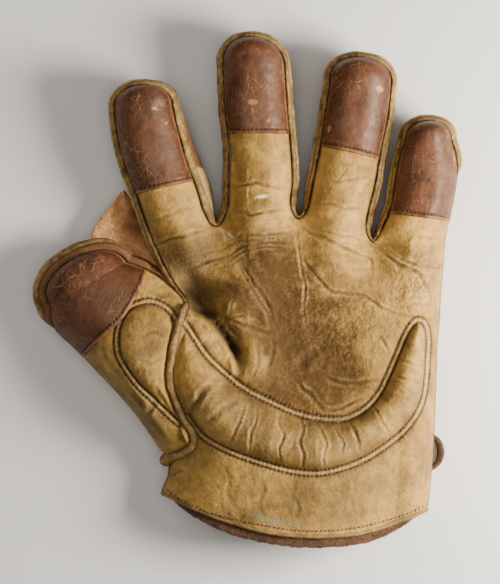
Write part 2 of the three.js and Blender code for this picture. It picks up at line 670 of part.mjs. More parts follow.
// A rounded bar along a path, taller than it is wide or round
function bar(path, { halfWidth, above, below }) {
  const sides = BAR_SIDES;
  const rings = path.map((point, index) => {
    const before = path[index - 1] ?? point;
    const after = path[index + 1] ?? point;
    const way = unit([after[0] - before[0], after[1] - before[1]]);
    return steps(sides).slice(1).map((turn) => {
      const angle = turn * 2 * Math.PI;
      const rise = Math.sin(angle);
      const out = halfWidth * Math.cos(angle);
      return add(point, [way[1] * out, -way[0] * out, rise * (rise > 0 ? above : below)]);
    });
  });
  const points = [...rings.flat(), path[0], path[path.length - 1]];
  const [startCentre, endCentre] = [points.length - 2, points.length - 1];
  const lastRing = (rings.length - 1) * sides;
  const faces = [];
  for (let side = 0; side < sides; side += 1) {
    const next = (side + 1) % sides;
    for (let ring = 0; ring + 1 < rings.length; ring += 1) {
      const [a, b] = [ring * sides + side, ring * sides + next];
      faces.push([a, b + sides, b], [a, a + sides, b + sides]);
    }
    faces.push([startCentre, side, next], [endCentre, lastRing + next, lastRing + side]);
  }
  return solidFrom(points, faces);
}

function thumbWelt() {
  const rows = [WELT_TAIL, ...WELT_ROWS].map(({ x, y, z }) => [x, y, z]);
  const path = placesBetween(0, rows.length - 1, STEPS_PER_ROW).map((place) => spline(rows, place));
  return bar(path, { halfWidth: WELT_WIDTH / 2, above: WELT_ABOVE, below: WELT_BELOW });
}

// The wrist edge of the front panel and, at each of its points, the way out of the glove
function wristEdge() {
  const points = FINGER_NAMES.flatMap((name, lane) => {
    const sheet = fingerSheet(name, 'front');
    return steps(LANE_COLUMNS).slice(lane > 0 ? 1 : 0).map((across) => sheet(0, across));
  });
  return points.map((point, index) => {
    const before = points[index - 1] ?? point;
    const after = points[index + 1] ?? point;
    const way = unit([after[0] - before[0], after[1] - before[1]]);
    return { point, out: [way[1], -way[0], 0] };
  });
}

function cuffPiping() {
  const path = wristEdge().map(({ point, out }) => add(point, [...out.slice(0, 2).map(
    (value) => value * (PIPING_RADIUS + GAP)), -PANEL_WALL / 2]));
  return bar(path, { halfWidth: PIPING_RADIUS, above: PIPING_RADIUS, below: PIPING_RADIUS });
}

// The felt lining shows as a lip past the piping, and is tucked in behind the front panel.
function feltLip() {
  const stops = wristEdge().slice(1, -1);
  const lay = (depth) => stops.map(({ point, out }, index) => steps(FELT_COLUMNS).map((share) => {
    const ends = dome(index / (stops.length - 1), FELT_END_POWER, FELT_END_POWER);
    const reach = mixNumber(-FELT_TUCK, FELT_SHOW * ends + FELT_END_SHOW, share);
    const inwards = mixNumber(FELT_INSET.inner, FELT_INSET.outer, share) * (1 - ends);
    const side = index < stops.length / 2 ? 1 : -1;
    return add(add(point, out, reach), [side * inwards, 0, -FELT_DROP - depth]);
  }));
  return slab(lay(0), lay(FELT_WALL));
}

function web() {
  const last = WEB_ROWS.length - 1;
  const edges = WEB_ROWS.map((row) => [...row.thumbEdge, ...row.indexEdge]);
  const lay = (z) => steps(last * STEPS_PER_ROW).map((share) => {
    const edge = spline(edges, share * last);
    return steps(WEB_COLUMNS).map((across) => [...mix(edge.slice(0, 2), edge.slice(2), across), z]);
  });
  return slab(lay(WEB_TOP), lay(WEB_TOP - WEB_WALL));
}

// The wrist strap lies under the back of the wrist. Its rounded end stands out at the little finger's side.
function wristStrap() {
  const { left, right, middle, width, wall } = STRAP;
  const radius = width / 2;
  const holeMiddle = right - STRAP_HOLE.inset;
  const holeReach = STRAP_HOLE.length / 2;
  const holeRadius = STRAP_HOLE.width / 2;
  const outline = new THREE.Shape();
  outline.moveTo(left, middle - radius);
  outline.lineTo(right - radius, middle - radius);
  outline.absarc(right - radius, middle, radius, -Math.PI / 2, Math.PI / 2, false);
  outline.lineTo(left, middle + radius);
  outline.closePath();
  const slot = new THREE.Path();
  slot.absarc(holeMiddle, middle + holeReach, holeRadius, 0, Math.PI, false);
  slot.absarc(holeMiddle, middle - holeReach, holeRadius, Math.PI, 2 * Math.PI, false);
  slot.closePath();
  outline.holes.push(slot);
  const options = { depth: wall, bevelEnabled: false, curveSegments: ARC_SEGMENTS };
  return new THREE.ExtrudeGeometry(outline, options);
}

const glove = new THREE.Group();

function place(name, geometry, finish) {
  const material = new THREE.MeshStandardMaterial({ ...COLOURS[finish], metalness: 0 });
  const mesh = new THREE.Mesh(geometry, material);
  mesh.name = name;
  glove.add(mesh);
}

place('palm_front', panel(palmTriangles, PANEL_WALL), 'tan');
place('back_panel', backPanel(), 'tan');
place('thumb_front', panel(thumbTriangles, PANEL_WALL), 'tan');
place('thumb_back', thumbBack(), 'tan');
place('gusset_index_middle', forkStrip('index', 'middle'), 'tan');
place('gusset_middle_ring', forkStrip('middle', 'ring'), 'tan');
place('gusset_ring_little', forkStrip('ring', 'little'), 'tan');
place('index_side_strip', indexSideStrip(), 'tan');
place('little_tip_strip', littleTipStrip(), 'tan');
place('thumb_side_strip', thumbSideStrip(), 'tan');
for (const name of FINGER_NAMES) {
  const from = FINGERS[name].capFrom.map((row) => LAST_PALM_ROW + row);
  const cap = { from, last: lastRow(name), columns: LANE_COLUMNS };
  place(`cap_${name}`, capOn(fingerSheet(name, 'front'), 'front', cap), 'brown');
  const backCap = { ...cap, columns: BACK_COLUMNS };
  place(`back_cap_${name}`, capOn(fingerSheet(name, 'back'), 'back', backCap), 'brown');
}
const thumbCap = { from: THUMB_CAP_FROM, last: LAST_THUMB_ROW, columns: THUMB_COLUMNS, bow: THUMB_CAP_BOW };
place('thumb_cap', capOn(thumbSheet('front'), 'front', thumbCap), 'brown');
place('heel_pad', padOn(palmTriangles, HEEL_PAD_ROWS, HEEL_PAD_RISE, HEEL_PAD_COLUMNS), 'tan');
place('thumb_pad', padOn(thumbTriangles, THUMB_PAD_ROWS, THUMB_PAD_RISE, THUMB_PAD_COLUMNS), 'tan');
place('thumb_welt', thumbWelt(), 'olive');
place('web', web(), 'russet');
place('cuff_piping', cuffPiping(), 'olive');
place('felt_lip', feltLip(), 'felt');
place('wrist_strap', wristStrap(), 'russet');

export default glove;
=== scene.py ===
"""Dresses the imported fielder's glove: worn leather, glazed caps, double stitching, welt, felt and web.

Sizes are millimetres in the frame of the CAD model: +X runs from the thumb to the little finger, +Y to the
fingertips and +Z up out of the palm. Meshes are written in metres. Each leather is a sheet worked out from the
glove's sections, to which its pads, folds, stitched grooves and wrinkles add their height.
"""

import logging
import math
from collections.abc import Callable, Sequence
from dataclasses import dataclass, field
from enum import Enum

import bpy
import numpy as np
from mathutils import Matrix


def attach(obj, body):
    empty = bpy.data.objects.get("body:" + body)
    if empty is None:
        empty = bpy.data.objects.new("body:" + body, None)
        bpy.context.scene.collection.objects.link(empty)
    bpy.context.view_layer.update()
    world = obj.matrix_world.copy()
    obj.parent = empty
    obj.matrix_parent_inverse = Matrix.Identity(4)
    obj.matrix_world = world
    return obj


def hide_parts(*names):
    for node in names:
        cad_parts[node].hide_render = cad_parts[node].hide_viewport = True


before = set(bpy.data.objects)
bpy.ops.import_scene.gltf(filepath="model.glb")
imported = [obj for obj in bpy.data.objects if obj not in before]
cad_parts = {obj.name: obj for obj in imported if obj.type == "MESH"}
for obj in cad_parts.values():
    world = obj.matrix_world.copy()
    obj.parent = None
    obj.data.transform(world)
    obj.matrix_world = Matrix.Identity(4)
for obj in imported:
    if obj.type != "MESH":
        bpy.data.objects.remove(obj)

Array = np.ndarray
Plan = tuple[float, float]
Colour = tuple[float, float, float]
Section = Callable[[Array], Array]

MM = 0.001
SIDE_MIDDLE = 14.0
HALF_GAP = 0.15
FRONT_SEAM = 20.5
BACK_SEAM = 7.0
FINGER_CROWN = 29.0
TIP_POWER = 2.3
DOME_POWER = 2.5
WRAP_POWER = 3.0

log = logging.getLogger("glove")


class Face(Enum):
    """The two leathers of the glove: the height of their common edge, their limits and their way from the welt."""

    FRONT = (SIDE_MIDDLE + HALF_GAP, SIDE_MIDDLE + HALF_GAP, 50.0, 1.3)
    BACK = (SIDE_MIDDLE - HALF_GAP, 0.0, SIDE_MIDDLE - HALF_GAP, HALF_GAP)

    @property
    def side_height(self) -> float:
        """Height of the edge at which front and back meet."""
        return self.value[0]

    @property
    def limits(self) -> tuple[float, float]:
        """Lowest and highest height that this leather may reach."""
        return self.value[1], self.value[2]

    @property
    def welt_reach(self) -> float:
        """Distance of this leather's edge from the middle of the welt."""
        return self.value[3]


# The welt between thumb and palm from its tail at the wrist to the thumb's root: x, y, z
WELT_TAIL = (-41.0, -81.5, 14.0)
WELT = np.array([
    (-36, -79, 17), (-27, -74.5, 25), (-25.2, -68, 29), (-30.5, -58.5, 33),
    (-35.8, -44, 36), (-35, -30, 37), (-32, -17, 36.5), (-28.5, -7, 32),
], float)


@dataclass(frozen=True)
class PalmRow:
    """A section of the palm: where the finger lanes' borders cross it, and its heights at and between them."""

    start: int | Plan
    lines: tuple[Plan, Plan, Plan]
    outer: Plan
    heights: tuple[float, ...]
    back: float
    back_edge: float


# From the wrist to the finger roots. start is a row of the welt or, past its ends, a place.
PALM_ROWS = (
    PalmRow((-40.5, -94.5), ((-8.5, -107), (19.5, -113), (52, -112)), (84, -102), (14, 27, 31, 33, 34, 34, 32, 27), 3.4, 14),
    PalmRow(0, ((-6, -91), (21, -96.5), (53, -95.5)), (85.5, -88), (17, 29, 34, 36, 36, 36, 34, 29), 3.4, 13),
    PalmRow(1, ((-3, -79), (22, -83), (53, -82)), (86.4, -76), (25, 33, 36.5, 37.5, 37.5, 37.5, 36, 31), 3.4, 4),
    PalmRow(2, ((-2, -69), (22, -72), (53, -71)), (87, -66), (29, 35, 37, 37.5, 37, 37, 36, 32), 3.2, 3),
    PalmRow(3, ((-4, -57), (22, -59.5), (53, -59)), (87.5, -55), (33, 36.5, 36, 34.5, 34, 35, 35.5, 33), 1.6, 1.6),
    PalmRow(4, ((-8, -41.5), (22, -43), (53, -43)), (88, -40), (36, 36, 33.5, 31, 30, 31, 33, 33), 0, 0),
    PalmRow(5, ((-9, -27.5), (22, -28.5), (54, -28)), (88.4, -27), (37, 35, 30, 28.5, 28, 28.5, 31, 32), 0, 0),
    PalmRow(6, ((-9, -14.5), (22.5, -14.5), (55, -14)), (89.5, -15), (36.5, 31, 29, 28, 28, 28, 30, 31.5), 0, 0),
    PalmRow(7, ((-10, -2.5), (23, -1), (56, -2.5)), (90, -4), (32, 22, 28, 28.5, 28, 28.5, 30, 31), 0, 0),
    PalmRow((-36, 5.5), ((-12, 11), (23.5, 13), (57, 9)), (91, 8), (25, 27.5, 27, 30, 28, 30, 28, 30.5), 0, 3),
    PalmRow((-44, 21.5), ((-14.5, 28.5), (23.5, 32), (58, 21)), (92, 21), (21, 29.5, 20.5, 29.5, 20.5, 29.5, 20.5, 29.5), 0, 7),
)
ROOTS = len(PALM_ROWS) - 1


@dataclass(frozen=True)
class FingerRow:
    """A section of a finger: its seams, how far it curls up, how far its back leans out, and its wrap to the back."""

    left: Plan
    right: Plan
    lift: float
    lean: float = 0.0
    wrap: float = 0.0


@dataclass(frozen=True)
class Finger:
    """One finger: its sections from root to tip, the tip, and where its cap's lower edge starts at left and right."""

    name: str
    rows: tuple[FingerRow, ...]
    tip: Plan
    tip_lift: float
    cap_from: tuple[float, float]
    root_ways: tuple[Plan, Plan]

    @property
    def last(self) -> int:
        """Place of the last section before the tip."""
        return ROOTS + len(self.rows)


FINGERS = (
    Finger("index", (
        FingerRow((-47.5, 31.5), (-20.6, 35), 0.6, 4),
        FingerRow((-51.5, 43.5), (-24, 45.5), 1.8, 6),
        FingerRow((-56.5, 56.5), (-29, 59), 2.2, 6),
        FingerRow((-60, 70), (-32.5, 71.5), 3, 3.5),
        FingerRow((-61.5, 83), (-35.5, 84), 4.2, 1),
    ), (-48.5, 93.5), 6, (2, 2.3), ((-3.5, 10), (-11.0, -0.5))),
    Finger("middle", (
        FingerRow((-9.2, 37), (19.5, 39), 0.5),
        FingerRow((-8.5, 50), (20.3, 50), 1.2),
        FingerRow((-8.3, 66), (19.4, 66), 1.8),
        FingerRow((-10.3, 84), (17.8, 84), 2.6),
        FingerRow((-11, 102), (16.6, 102), 4.2),
    ), (1.5, 115.8), 6.5, (3.3, 3.3), ((7.0, 0.5), (-7.5, 1.0))),
    Finger("ring", (
        FingerRow((28, 37), (54.6, 29.5), 0.5),
        FingerRow((31, 51), (58.6, 48), 1.2),
        FingerRow((34, 66), (61.3, 64), 1.9),
        FingerRow((36.3, 81), (64.5, 80), 2.9),
        FingerRow((38.6, 96), (66, 95.5), 4.4),
    ), (51.5, 106.3), 6, (2.97, 2.72), ((6.0, 1.5), (-6.0, 4.0))),
    Finger("little", (
        FingerRow((63, 28.5), (93.2, 28.5), 1.5, wrap=1),
        FingerRow((67, 38.5), (95.2, 38), 2, wrap=1),
        FingerRow((68.8, 49), (97, 48.5), 2.2, wrap=1),
        FingerRow((70.6, 60), (96.6, 59.5), 3, wrap=0.5),
        FingerRow((73.6, 69), (93.6, 69), 4.2),
    ), (84, 77), 5.5, (1.6, 1.27), ((5.5, 3.0), (1.0, 9.0))),
)


@dataclass(frozen=True)
class ThumbRow:
    """A section of the thumb. right is a row of the welt or a place; heights are at its left, crown and right."""

    left: Plan
    right: int | Plan
    front: tuple[float, float, float]
    back: tuple[float, float, float]


THUMB_ROWS = (
    ThumbRow((-40.5, -76), 0, (14, 18, 16), (14, 11, 12.5)),
    ThumbRow((-45, -69.5), 1, (14, 26.5, 24), (14, 3.5, 4)),
    ThumbRow((-48, -65), 2, (14, 31, 28), (14, 2, 3)),
    ThumbRow((-52.8, -58.6), 3, (14, 34.5, 32), (14, 1, 1.6)),
    ThumbRow((-61, -49), 4, (14, 37.5, 35), (14, 0.5, 0)),
    ThumbRow((-69, -40.5), 5, (14, 38.5, 36), (14, 0.5, 0)),
    ThumbRow((-76, -33), 6, (14, 38, 35.5), (14, 0.5, 0)),
    ThumbRow((-82.5, -26.5), 7, (14, 36.5, 31), (14, 0.5, 0)),
    ThumbRow((-87.5, -22), (-38, 2.5), (15, 34.5, 24), (12, 0.8, 4)),
    ThumbRow((-90.6, -16.5), (-47, 8.3), (18.5, 32, 21.5), (9, 1.5, 6.5)),
    ThumbRow((-91, -8.5), (-56.5, 11.8), (20.5, 30.5, 21), (8, 2.5, 7.5)),
)
THUMB_TIP = (-81.5, 12.6)
THUMB_TIP_LIFT = {Face.FRONT: 22.0, Face.BACK: 9.0}
LAST_THUMB_ROW = len(THUMB_ROWS) - 1


# Curves and sheets


def blend(before: Array, start: Array, end: Array, after: Array, share: Array) -> Array:
    """Blends four rows into a point of the smooth curve between the middle two (Catmull and Rom's cubic).

    Args:
        before: Row before the stretch.
        start: Row at its start.
        end: Row at its end.
        after: Row after it.
        share: Place between start and end, from 0 to 1, with one axis less than the rows.

    Returns:
        The points, shaped as the rows are.
    """
    s = np.asarray(share)[..., None]
    curve = 2 * before - 5 * start + 4 * end - after
    twist = 3 * start - before - 3 * end + after
    return start + 0.5 * s * (end - before + s * (curve + s * twist))


def spline(rows: Array, place: Array) -> Array:
    """Runs a smooth curve through rows, which is mirrored past its two ends.

    Args:
        rows: The rows, one for each whole place.
        place: Places along the curve, of any shape.

    Returns:
        A point for each place.
    """
    rows = np.asarray(rows, float)
    place = np.asarray(place, float)
    longer = np.vstack([2 * rows[0] - rows[1], rows, 2 * rows[-1] - rows[-2]])
    index = np.clip(np.floor(place).astype(int), 0, len(rows) - 2)
    return blend(*(longer[index + step] for step in range(4)), place - index)


def dome(across: Array, left: float = DOME_POWER, right: float = DOME_POWER) -> Array:
    """Gives the height across a panel: 1 - |2a - 1| to a power, 0 at both seams and 1 at the crown.

    Args:
        across: Places from 0 to 1.
        left: Power of the left half.
        right: Power of the right half.

    Returns:
        The height at each place.
    """
    return 1 - np.abs(2 * across - 1) ** np.where(across < 0.5, left, right)


def crowned(across: Array, left: float, crown: float, right: float, power: float = DOME_POWER) -> Array:
    """Gives the height of a panel that rises from its left and right seams to its crown.

    Args:
        across: Places from 0 to 1.
        left: Height at the left seam.
        crown: Height at the middle.
        right: Height at the right seam.
        power: Power of the right half's dome.

    Returns:
        The height at each place.
    """
    seam = np.where(across < 0.5, left, right)
    return seam + (crown - seam) * dome(across, DOME_POWER, power)


def smooth_step(value: Array, low: float, high: float) -> Array:
    """Rises smoothly from 0 at low to 1 at high: s * s * (3 - 2s).

    Args:
        value: Any numbers.
        low: Where the rise starts.
        high: Where it ends.

    Returns:
        Numbers from 0 to 1.
    """
    share = np.clip((value - low) / (high - low), 0, 1)
    return share * share * (3 - 2 * share)


def beside_welt(row: int, side: int, reach: float) -> Plan:
    """Finds the place beside a row of the welt.

    Args:
        row: Row of the welt.
        side: 1 for the palm and -1 for the thumb.
        reach: Distance from the welt's middle.

    Returns:
        The place in the plan.
    """
    following = WELT[min(row + 1, len(WELT) - 1)]
    previous = WELT[row - 1] if row else np.array(WELT_TAIL)
    way = (following - previous)[:2]
    way = way / np.linalg.norm(way)
    x, y = WELT[row][:2]
    return x + side * reach * way[1], y - side * reach * way[0]


def unit(vectors: Array) -> Array:
    """Scales vectors to length 1."""
    return vectors / np.maximum(np.linalg.norm(vectors, axis=-1, keepdims=True), 1e-9)


@dataclass
class Sheet:
    """A surface through a list of sections and then round to a tip, as a function of its places along and across.

    At the fork row, a border that two sheets share runs in the way that root_ways gives, so that the two sheets
    meet in a round crotch.
    """

    sections: list[Section]
    tip: Array
    face: Face
    fork: int = -9
    root_ways: tuple[Plan, Plan] = ((0, 0), (0, 0))

    @property
    def last(self) -> int:
        """Place of the last section."""
        return len(self.sections) - 1

    def at(self, along: Array, across: Array) -> Array:
        """Works out points of the sheet.

        Args:
            along: Places along it; past the last section they run round the tip.
            across: Places across it, from 0 to 1.

        Returns:
            The points, with the shape of along and across and one more axis.
        """
        along, across = np.broadcast_arrays(np.asarray(along, float), np.asarray(across, float))
        shape = along.shape
        along, across = along.ravel(), across.ravel()
        rows = np.stack([section(across) for section in self.sections])
        column = np.arange(len(across))
        index = np.clip(np.floor(along).astype(int), 0, self.last - 1)
        start, end = rows[index, column], rows[index + 1, column]
        first, final = (index == 0)[:, None], (index + 2 > self.last)[:, None]
        before = np.where(first, 2 * start - end, rows[np.maximum(index - 1, 0), column])
        after = np.where(final, 2 * end - start, rows[np.minimum(index + 2, self.last), column])
        share = np.sin(np.pi * across)[:, None]
        way = np.zeros_like(start)
        way[:, :2] = np.where((across < 0.5)[:, None], *(np.array(side, float) for side in self.root_ways))
        entering = (index + 1 == self.fork)[:, None]
        leaving = (index == self.fork)[:, None]
        after = np.where(entering, 2 * end - start + (after - 2 * end + start) * share, after)
        before = np.where(leaving, end - 2 * way + (before - end + 2 * way) * share, before)
        points = blend(before, start, end, after, np.minimum(along - index, 1))
        past = along > self.last
        points[past] = self._tip(rows[-1][past], across[past], along[past] - self.last)
        points[:, 2] = np.clip(points[:, 2], *self.face.limits)
        return points.reshape(*shape, 3)

    def _tip(self, here: Array, across: Array, share: Array) -> Array:
        """Works out points round the tip, whose outline is a superellipse.

        Args:
            here: Points of the last section.
            across: Their places across the sheet.
            share: How far round the tip they are moved, from 0 to 1.

        Returns:
            The moved points.
        """
        angle = np.clip(share, 0, 1) * np.pi / 2
        forward = (np.sin(angle) ** (2 / TIP_POWER))[:, None]
        width = (np.cos(angle) ** (2 / TIP_POWER))[:, None]
        left, right = (self.sections[-1](np.array([edge]))[0] for edge in (0.0, 1.0))
        seam = left + (right - left) * across[:, None]
        middle = (left + right) / 2
        centre = middle + (self.tip - middle) * forward
        points = centre + (here - middle) * width
        points[:, 2:] = seam[:, 2:] + (self.tip[2] - seam[:, 2:]) * forward + (here - seam)[:, 2:] * width
        return points

    def places(self, start: float, end: float, spacing: float, step: int = 1, across: float = 0.5) -> Array:
        """Spreads places evenly along a line of the sheet.

        Args:
            start: First place.
            end: Last place, which may be past the last section.
            spacing: Distance between neighbouring rows in mm.
            step: The number of stretches is a multiple of this.
            across: Place of the line across the sheet.

        Returns:
            The places.
        """
        fine = np.linspace(start, end, 1500)
        reach = np.linalg.norm(np.diff(self.at(fine, across), axis=0), axis=1)
        travelled = np.concatenate([[0], np.cumsum(reach + 1e-6)])
        count = max(step, int(round(travelled[-1] / spacing / step)) * step)
        return np.interp(np.linspace(0, travelled[-1], count + 1), travelled, fine)


def palm_section(row: PalmRow, lane: int, face: Face) -> Section:
    """Makes the section of one finger's lane through a row of the palm.

    Args:
        row: Row of the palm.
        lane: Number of the finger, from 0 at the index finger.
        face: Front or back.

    Returns:
        A function from places across the lane to points.
    """
    start = beside_welt(row.start, 1, face.welt_reach) if isinstance(row.start, int) else row.start
    borders = np.array([start, *row.lines, row.outer], float)

    def section(across: Array) -> Array:
        """Points of the lane: splines through its borders and heights, and a rounded side at the far edge."""
        place = lane + across
        plan = spline(borders, place)
        if face is Face.FRONT:
            height = spline(np.array(row.heights, float)[:, None], np.minimum(2 * place, 7))[..., 0]
            crown = row.heights[7]
        else:
            at_roots = row is PALM_ROWS[ROOTS]
            edge = np.where((place < 1) | at_roots, row.back_edge, row.back)
            far = row.back_edge if at_roots else row.back
            height = np.where(across < 0.5, edge, far)
            height = height + (row.back - height) * dome(across)
            crown = row.back
        if lane == 3:
            side = crowned(across, crown, crown, face.side_height, WRAP_POWER)
            height = np.where(across > 0.5, side, height)
        return np.column_stack([plan, height])

    return section


def finger_section(row: FingerRow, face: Face) -> Section:
    """Makes a section of a finger above its root.

    Args:
        row: Row of the finger.
        face: Front or back.

    Returns:
        A function from places across the finger to points.
    """
    left = np.array(row.left, float)
    right = np.array(row.right, float) + ([row.lean, 0] if face is Face.BACK else [0, 0])
    seam = (FRONT_SEAM if face is Face.FRONT else BACK_SEAM) + row.lift
    crown = (FINGER_CROWN if face is Face.FRONT else 0) + row.lift
    far = seam + (face.side_height - seam) * row.wrap
    power = DOME_POWER + (WRAP_POWER - DOME_POWER) * row.wrap

    def section(across: Array) -> Array:
        """Points straight across from seam to seam, crowned in the middle."""
        plan = left + (right - left) * across[:, None]
        return np.column_stack([plan, crowned(across, seam, crown, far, power)])

    return section


def thumb_section(row: ThumbRow, face: Face) -> Section:
    """Makes a section of the thumb.

    Args:
        row: Row of the thumb.
        face: Front or back.

    Returns:
        A function from places across the thumb to points.
    """
    left = np.array(row.left, float)
    beside = beside_welt(row.right, -1, face.welt_reach) if isinstance(row.right, int) else row.right
    right = np.array(beside, float)
    edge, crown, far = row.front if face is Face.FRONT else row.back
    nudge = face.side_height - SIDE_MIDDLE if edge == SIDE_MIDDLE else 0

    def section(across: Array) -> Array:
        """Points straight across from edge to edge, crowned in the middle."""
        plan = left + (right - left) * across[:, None]
        return np.column_stack([plan, crowned(across, edge + nudge, crown, far)])

    return section


def finger_sheet(finger: Finger, face: Face) -> Sheet:
    """Makes the sheet of a finger with its lane of the palm.

    Args:
        finger: The finger.
        face: Front or back.

    Returns:
        The sheet, whose place ROOTS is the row of finger roots.
    """
    lane = FINGERS.index(finger)
    sections = [palm_section(row, lane, face) for row in PALM_ROWS]
    sections += [finger_section(row, face) for row in finger.rows]
    seam = FRONT_SEAM if face is Face.FRONT else BACK_SEAM
    lean = finger.rows[-1].lean / 2 if face is Face.BACK else 0
    tip = np.array([finger.tip[0] + lean, finger.tip[1], seam + finger.tip_lift])
    return Sheet(sections, tip, face, ROOTS, finger.root_ways)


def thumb_sheet(face: Face) -> Sheet:
    """Makes the sheet of the thumb's front or back."""
    sections = [thumb_section(row, face) for row in THUMB_ROWS]
    return Sheet(sections, np.array([*THUMB_TIP, THUMB_TIP_LIFT[face]]), face)


# Meshes


def grid_normals(points: Array) -> Array:
    """Finds the normals of a grid of points, whose rows run along and columns run across.

    Args:
        points: Grid of points.

    Returns:
        Unit normals: the cross product of the ways across and along.
    """
    return unit(np.cross(np.gradient(points, axis=1), np.gradient(points, axis=0)))


def grid_quads(grid: Array) -> Array:
    """Lists the quads of a grid of point numbers, counter-clockwise seen with rows running up."""
    return np.stack([grid[:-1, :-1], grid[:-1, 1:], grid[1:, 1:], grid[1:, :-1]], -1).reshape(-1, 4)


def grid_loop(grid: Array) -> Array:
    """Lists the point numbers round a grid, counter-clockwise, each once."""
    return np.concatenate([grid[0, :-1], grid[:-1, -1], grid[-1, :0:-1], grid[:0:-1, 0]])


@dataclass
class Leather:
    """A leather in the making: its outer and inner points, its grids, the loop round it and its masks.

    The inner side takes every step-th row and column of the outer one, and fans of triangles join the two round
    the loop, so the piece is closed.
    """

    outer: Array
    inner: Array
    grids: list[Array]
    loop: Array
    masks: dict[str, Array] = field(default_factory=dict)
    step: int = 1
    flip: bool = False

    @classmethod
    def of_grid(cls, outer: Array, inner: Array, flip: bool = False, **masks: Array) -> "Leather":
        """Makes a piece of one grid.

        Args:
            outer: Grid of the outer side's points.
            inner: Grid of the inner side's points.
            flip: True where the outer side is the one seen with rows running up and columns running left.
            masks: Values for each point, by name.

        Returns:
            The leather.
        """
        numbers = np.arange(outer.shape[0] * outer.shape[1]).reshape(outer.shape[:2])
        flat = {name: np.broadcast_to(values, outer.shape[:2]).ravel() for name, values in masks.items()}
        return cls(outer.reshape(-1, 3), inner.reshape(-1, 3), [numbers], grid_loop(numbers), flat, flip=flip)

    def build(self, name: str, material: bpy.types.Material, lining: bpy.types.Material | None = None) -> bpy.types.Object:
        """Makes the object.

        Args:
            name: Name of the piece.
            material: Finish of the outer side and the edge.
            lining: Finish of the inner side, where it differs.

        Returns:
            The object, at the origin.
        """
        quads = np.concatenate([grid_quads(grid) for grid in self.grids])
        coarse = np.concatenate([grid_quads(grid[:: self.step, :: self.step]) for grid in self.grids])
        used = np.unique(coarse)
        number = np.zeros(len(self.outer), int)
        number[used] = len(self.outer) + np.arange(len(used))
        inside = number[coarse][:, ::-1]
        rim = self._rim(number)
        points = np.vstack([self.outer, self.inner[used]])
        faces = [quads, inside, rim]
        if self.flip:
            faces = [part[:, ::-1] for part in faces]
        masks = {key: np.concatenate([values, values[used]]) for key, values in self.masks.items()}
        piece = make_object(name, points, faces, material, masks)
        if lining is not None:
            piece.data.materials.append(lining)
            slots = np.zeros(len(piece.data.polygons), np.int32)
            slots[len(quads) : len(quads) + len(inside)] = 1
            piece.data.polygons.foreach_set("material_index", slots)
        return piece

    def _rim(self, number: Array) -> Array:
        """Joins the outer loop to the inner one.

        Args:
            number: The inner point's number for each outer one.

        Returns:
            Triangles, as rows of three point numbers.
        """
        step = self.step
        fine = self.loop.reshape(-1, step)
        corner = number[fine[:, 0]]
        following = np.roll(corner, -1)
        ahead = np.concatenate([fine[:, 1:], np.roll(fine[:, 0], -1)[:, None]], axis=1)
        half = np.arange(step) < step / 2
        near = np.where(half, corner[:, None], following[:, None])
        fans = np.stack([ahead, fine, near], -1).reshape(-1, 3)
        middle = ahead[:, int(math.ceil(step / 2)) - 1]
        return np.vstack([fans, np.column_stack([middle, corner, following])])


def make_object(
    name: str,
    points: Array,
    faces: Sequence[Array],
    material: bpy.types.Material,
    masks: dict[str, Array] | None = None,
    sharp: float = 55.0,
) -> bpy.types.Object:
    """Writes points and faces into a smooth-shaded mesh object at the origin.

    Args:
        name: Name of the object.
        points: Points in mm.
        faces: Groups of faces, each an array with a row of point numbers for each face.
        material: Finish.
        masks: Values for each point, by name, that the finish reads.
        sharp: Angle in degrees above which an edge stays sharp.

    Returns:
        The object.
    """
    mesh = bpy.data.meshes.new(name)
    sizes = np.concatenate([np.full(len(part), part.shape[1]) for part in faces])
    corners = np.concatenate([part.ravel() for part in faces])
    mesh.vertices.add(len(points))
    mesh.vertices.foreach_set("co", (points * MM).astype(np.float32).ravel())
    mesh.loops.add(len(corners))
    mesh.loops.foreach_set("vertex_index", corners.astype(np.int32))
    mesh.polygons.add(len(sizes))
    mesh.polygons.foreach_set("loop_start", (np.cumsum(sizes) - sizes).astype(np.int32))
    mesh.polygons.foreach_set("use_smooth", np.ones(len(sizes), bool))
    for key, values in (masks or {}).items():
        attribute = mesh.attributes.new(key, "FLOAT", "POINT")
        attribute.data.foreach_set("value", np.clip(values, 0, 1).astype(np.float32))
    mesh.update(calc_edges=True)
    mesh.validate()
    mesh.set_sharp_from_angle(angle=math.radians(sharp))
    mesh.materials.append(material)
    piece = bpy.data.objects.new(name, mesh)
    bpy.context.scene.collection.objects.link(piece)
    return piece


def enter(piece: bpy.types.Object, slot: str | None, *nodes: str) -> bpy.types.Object:
    """Rides a piece on the glove's body and lets it stand for CAD nodes.

    Args:
        piece: The piece.
        slot: Material slot of the record, or None for one that it doesn't name. Not used.
        nodes: CAD nodes that it replaces.

    Returns:
        The piece.
    """
    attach(piece, "root")
    if nodes:
        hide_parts(*nodes)
    log.info("%s: %d faces", piece.name, len(piece.data.polygons))
    return piece


# Relief


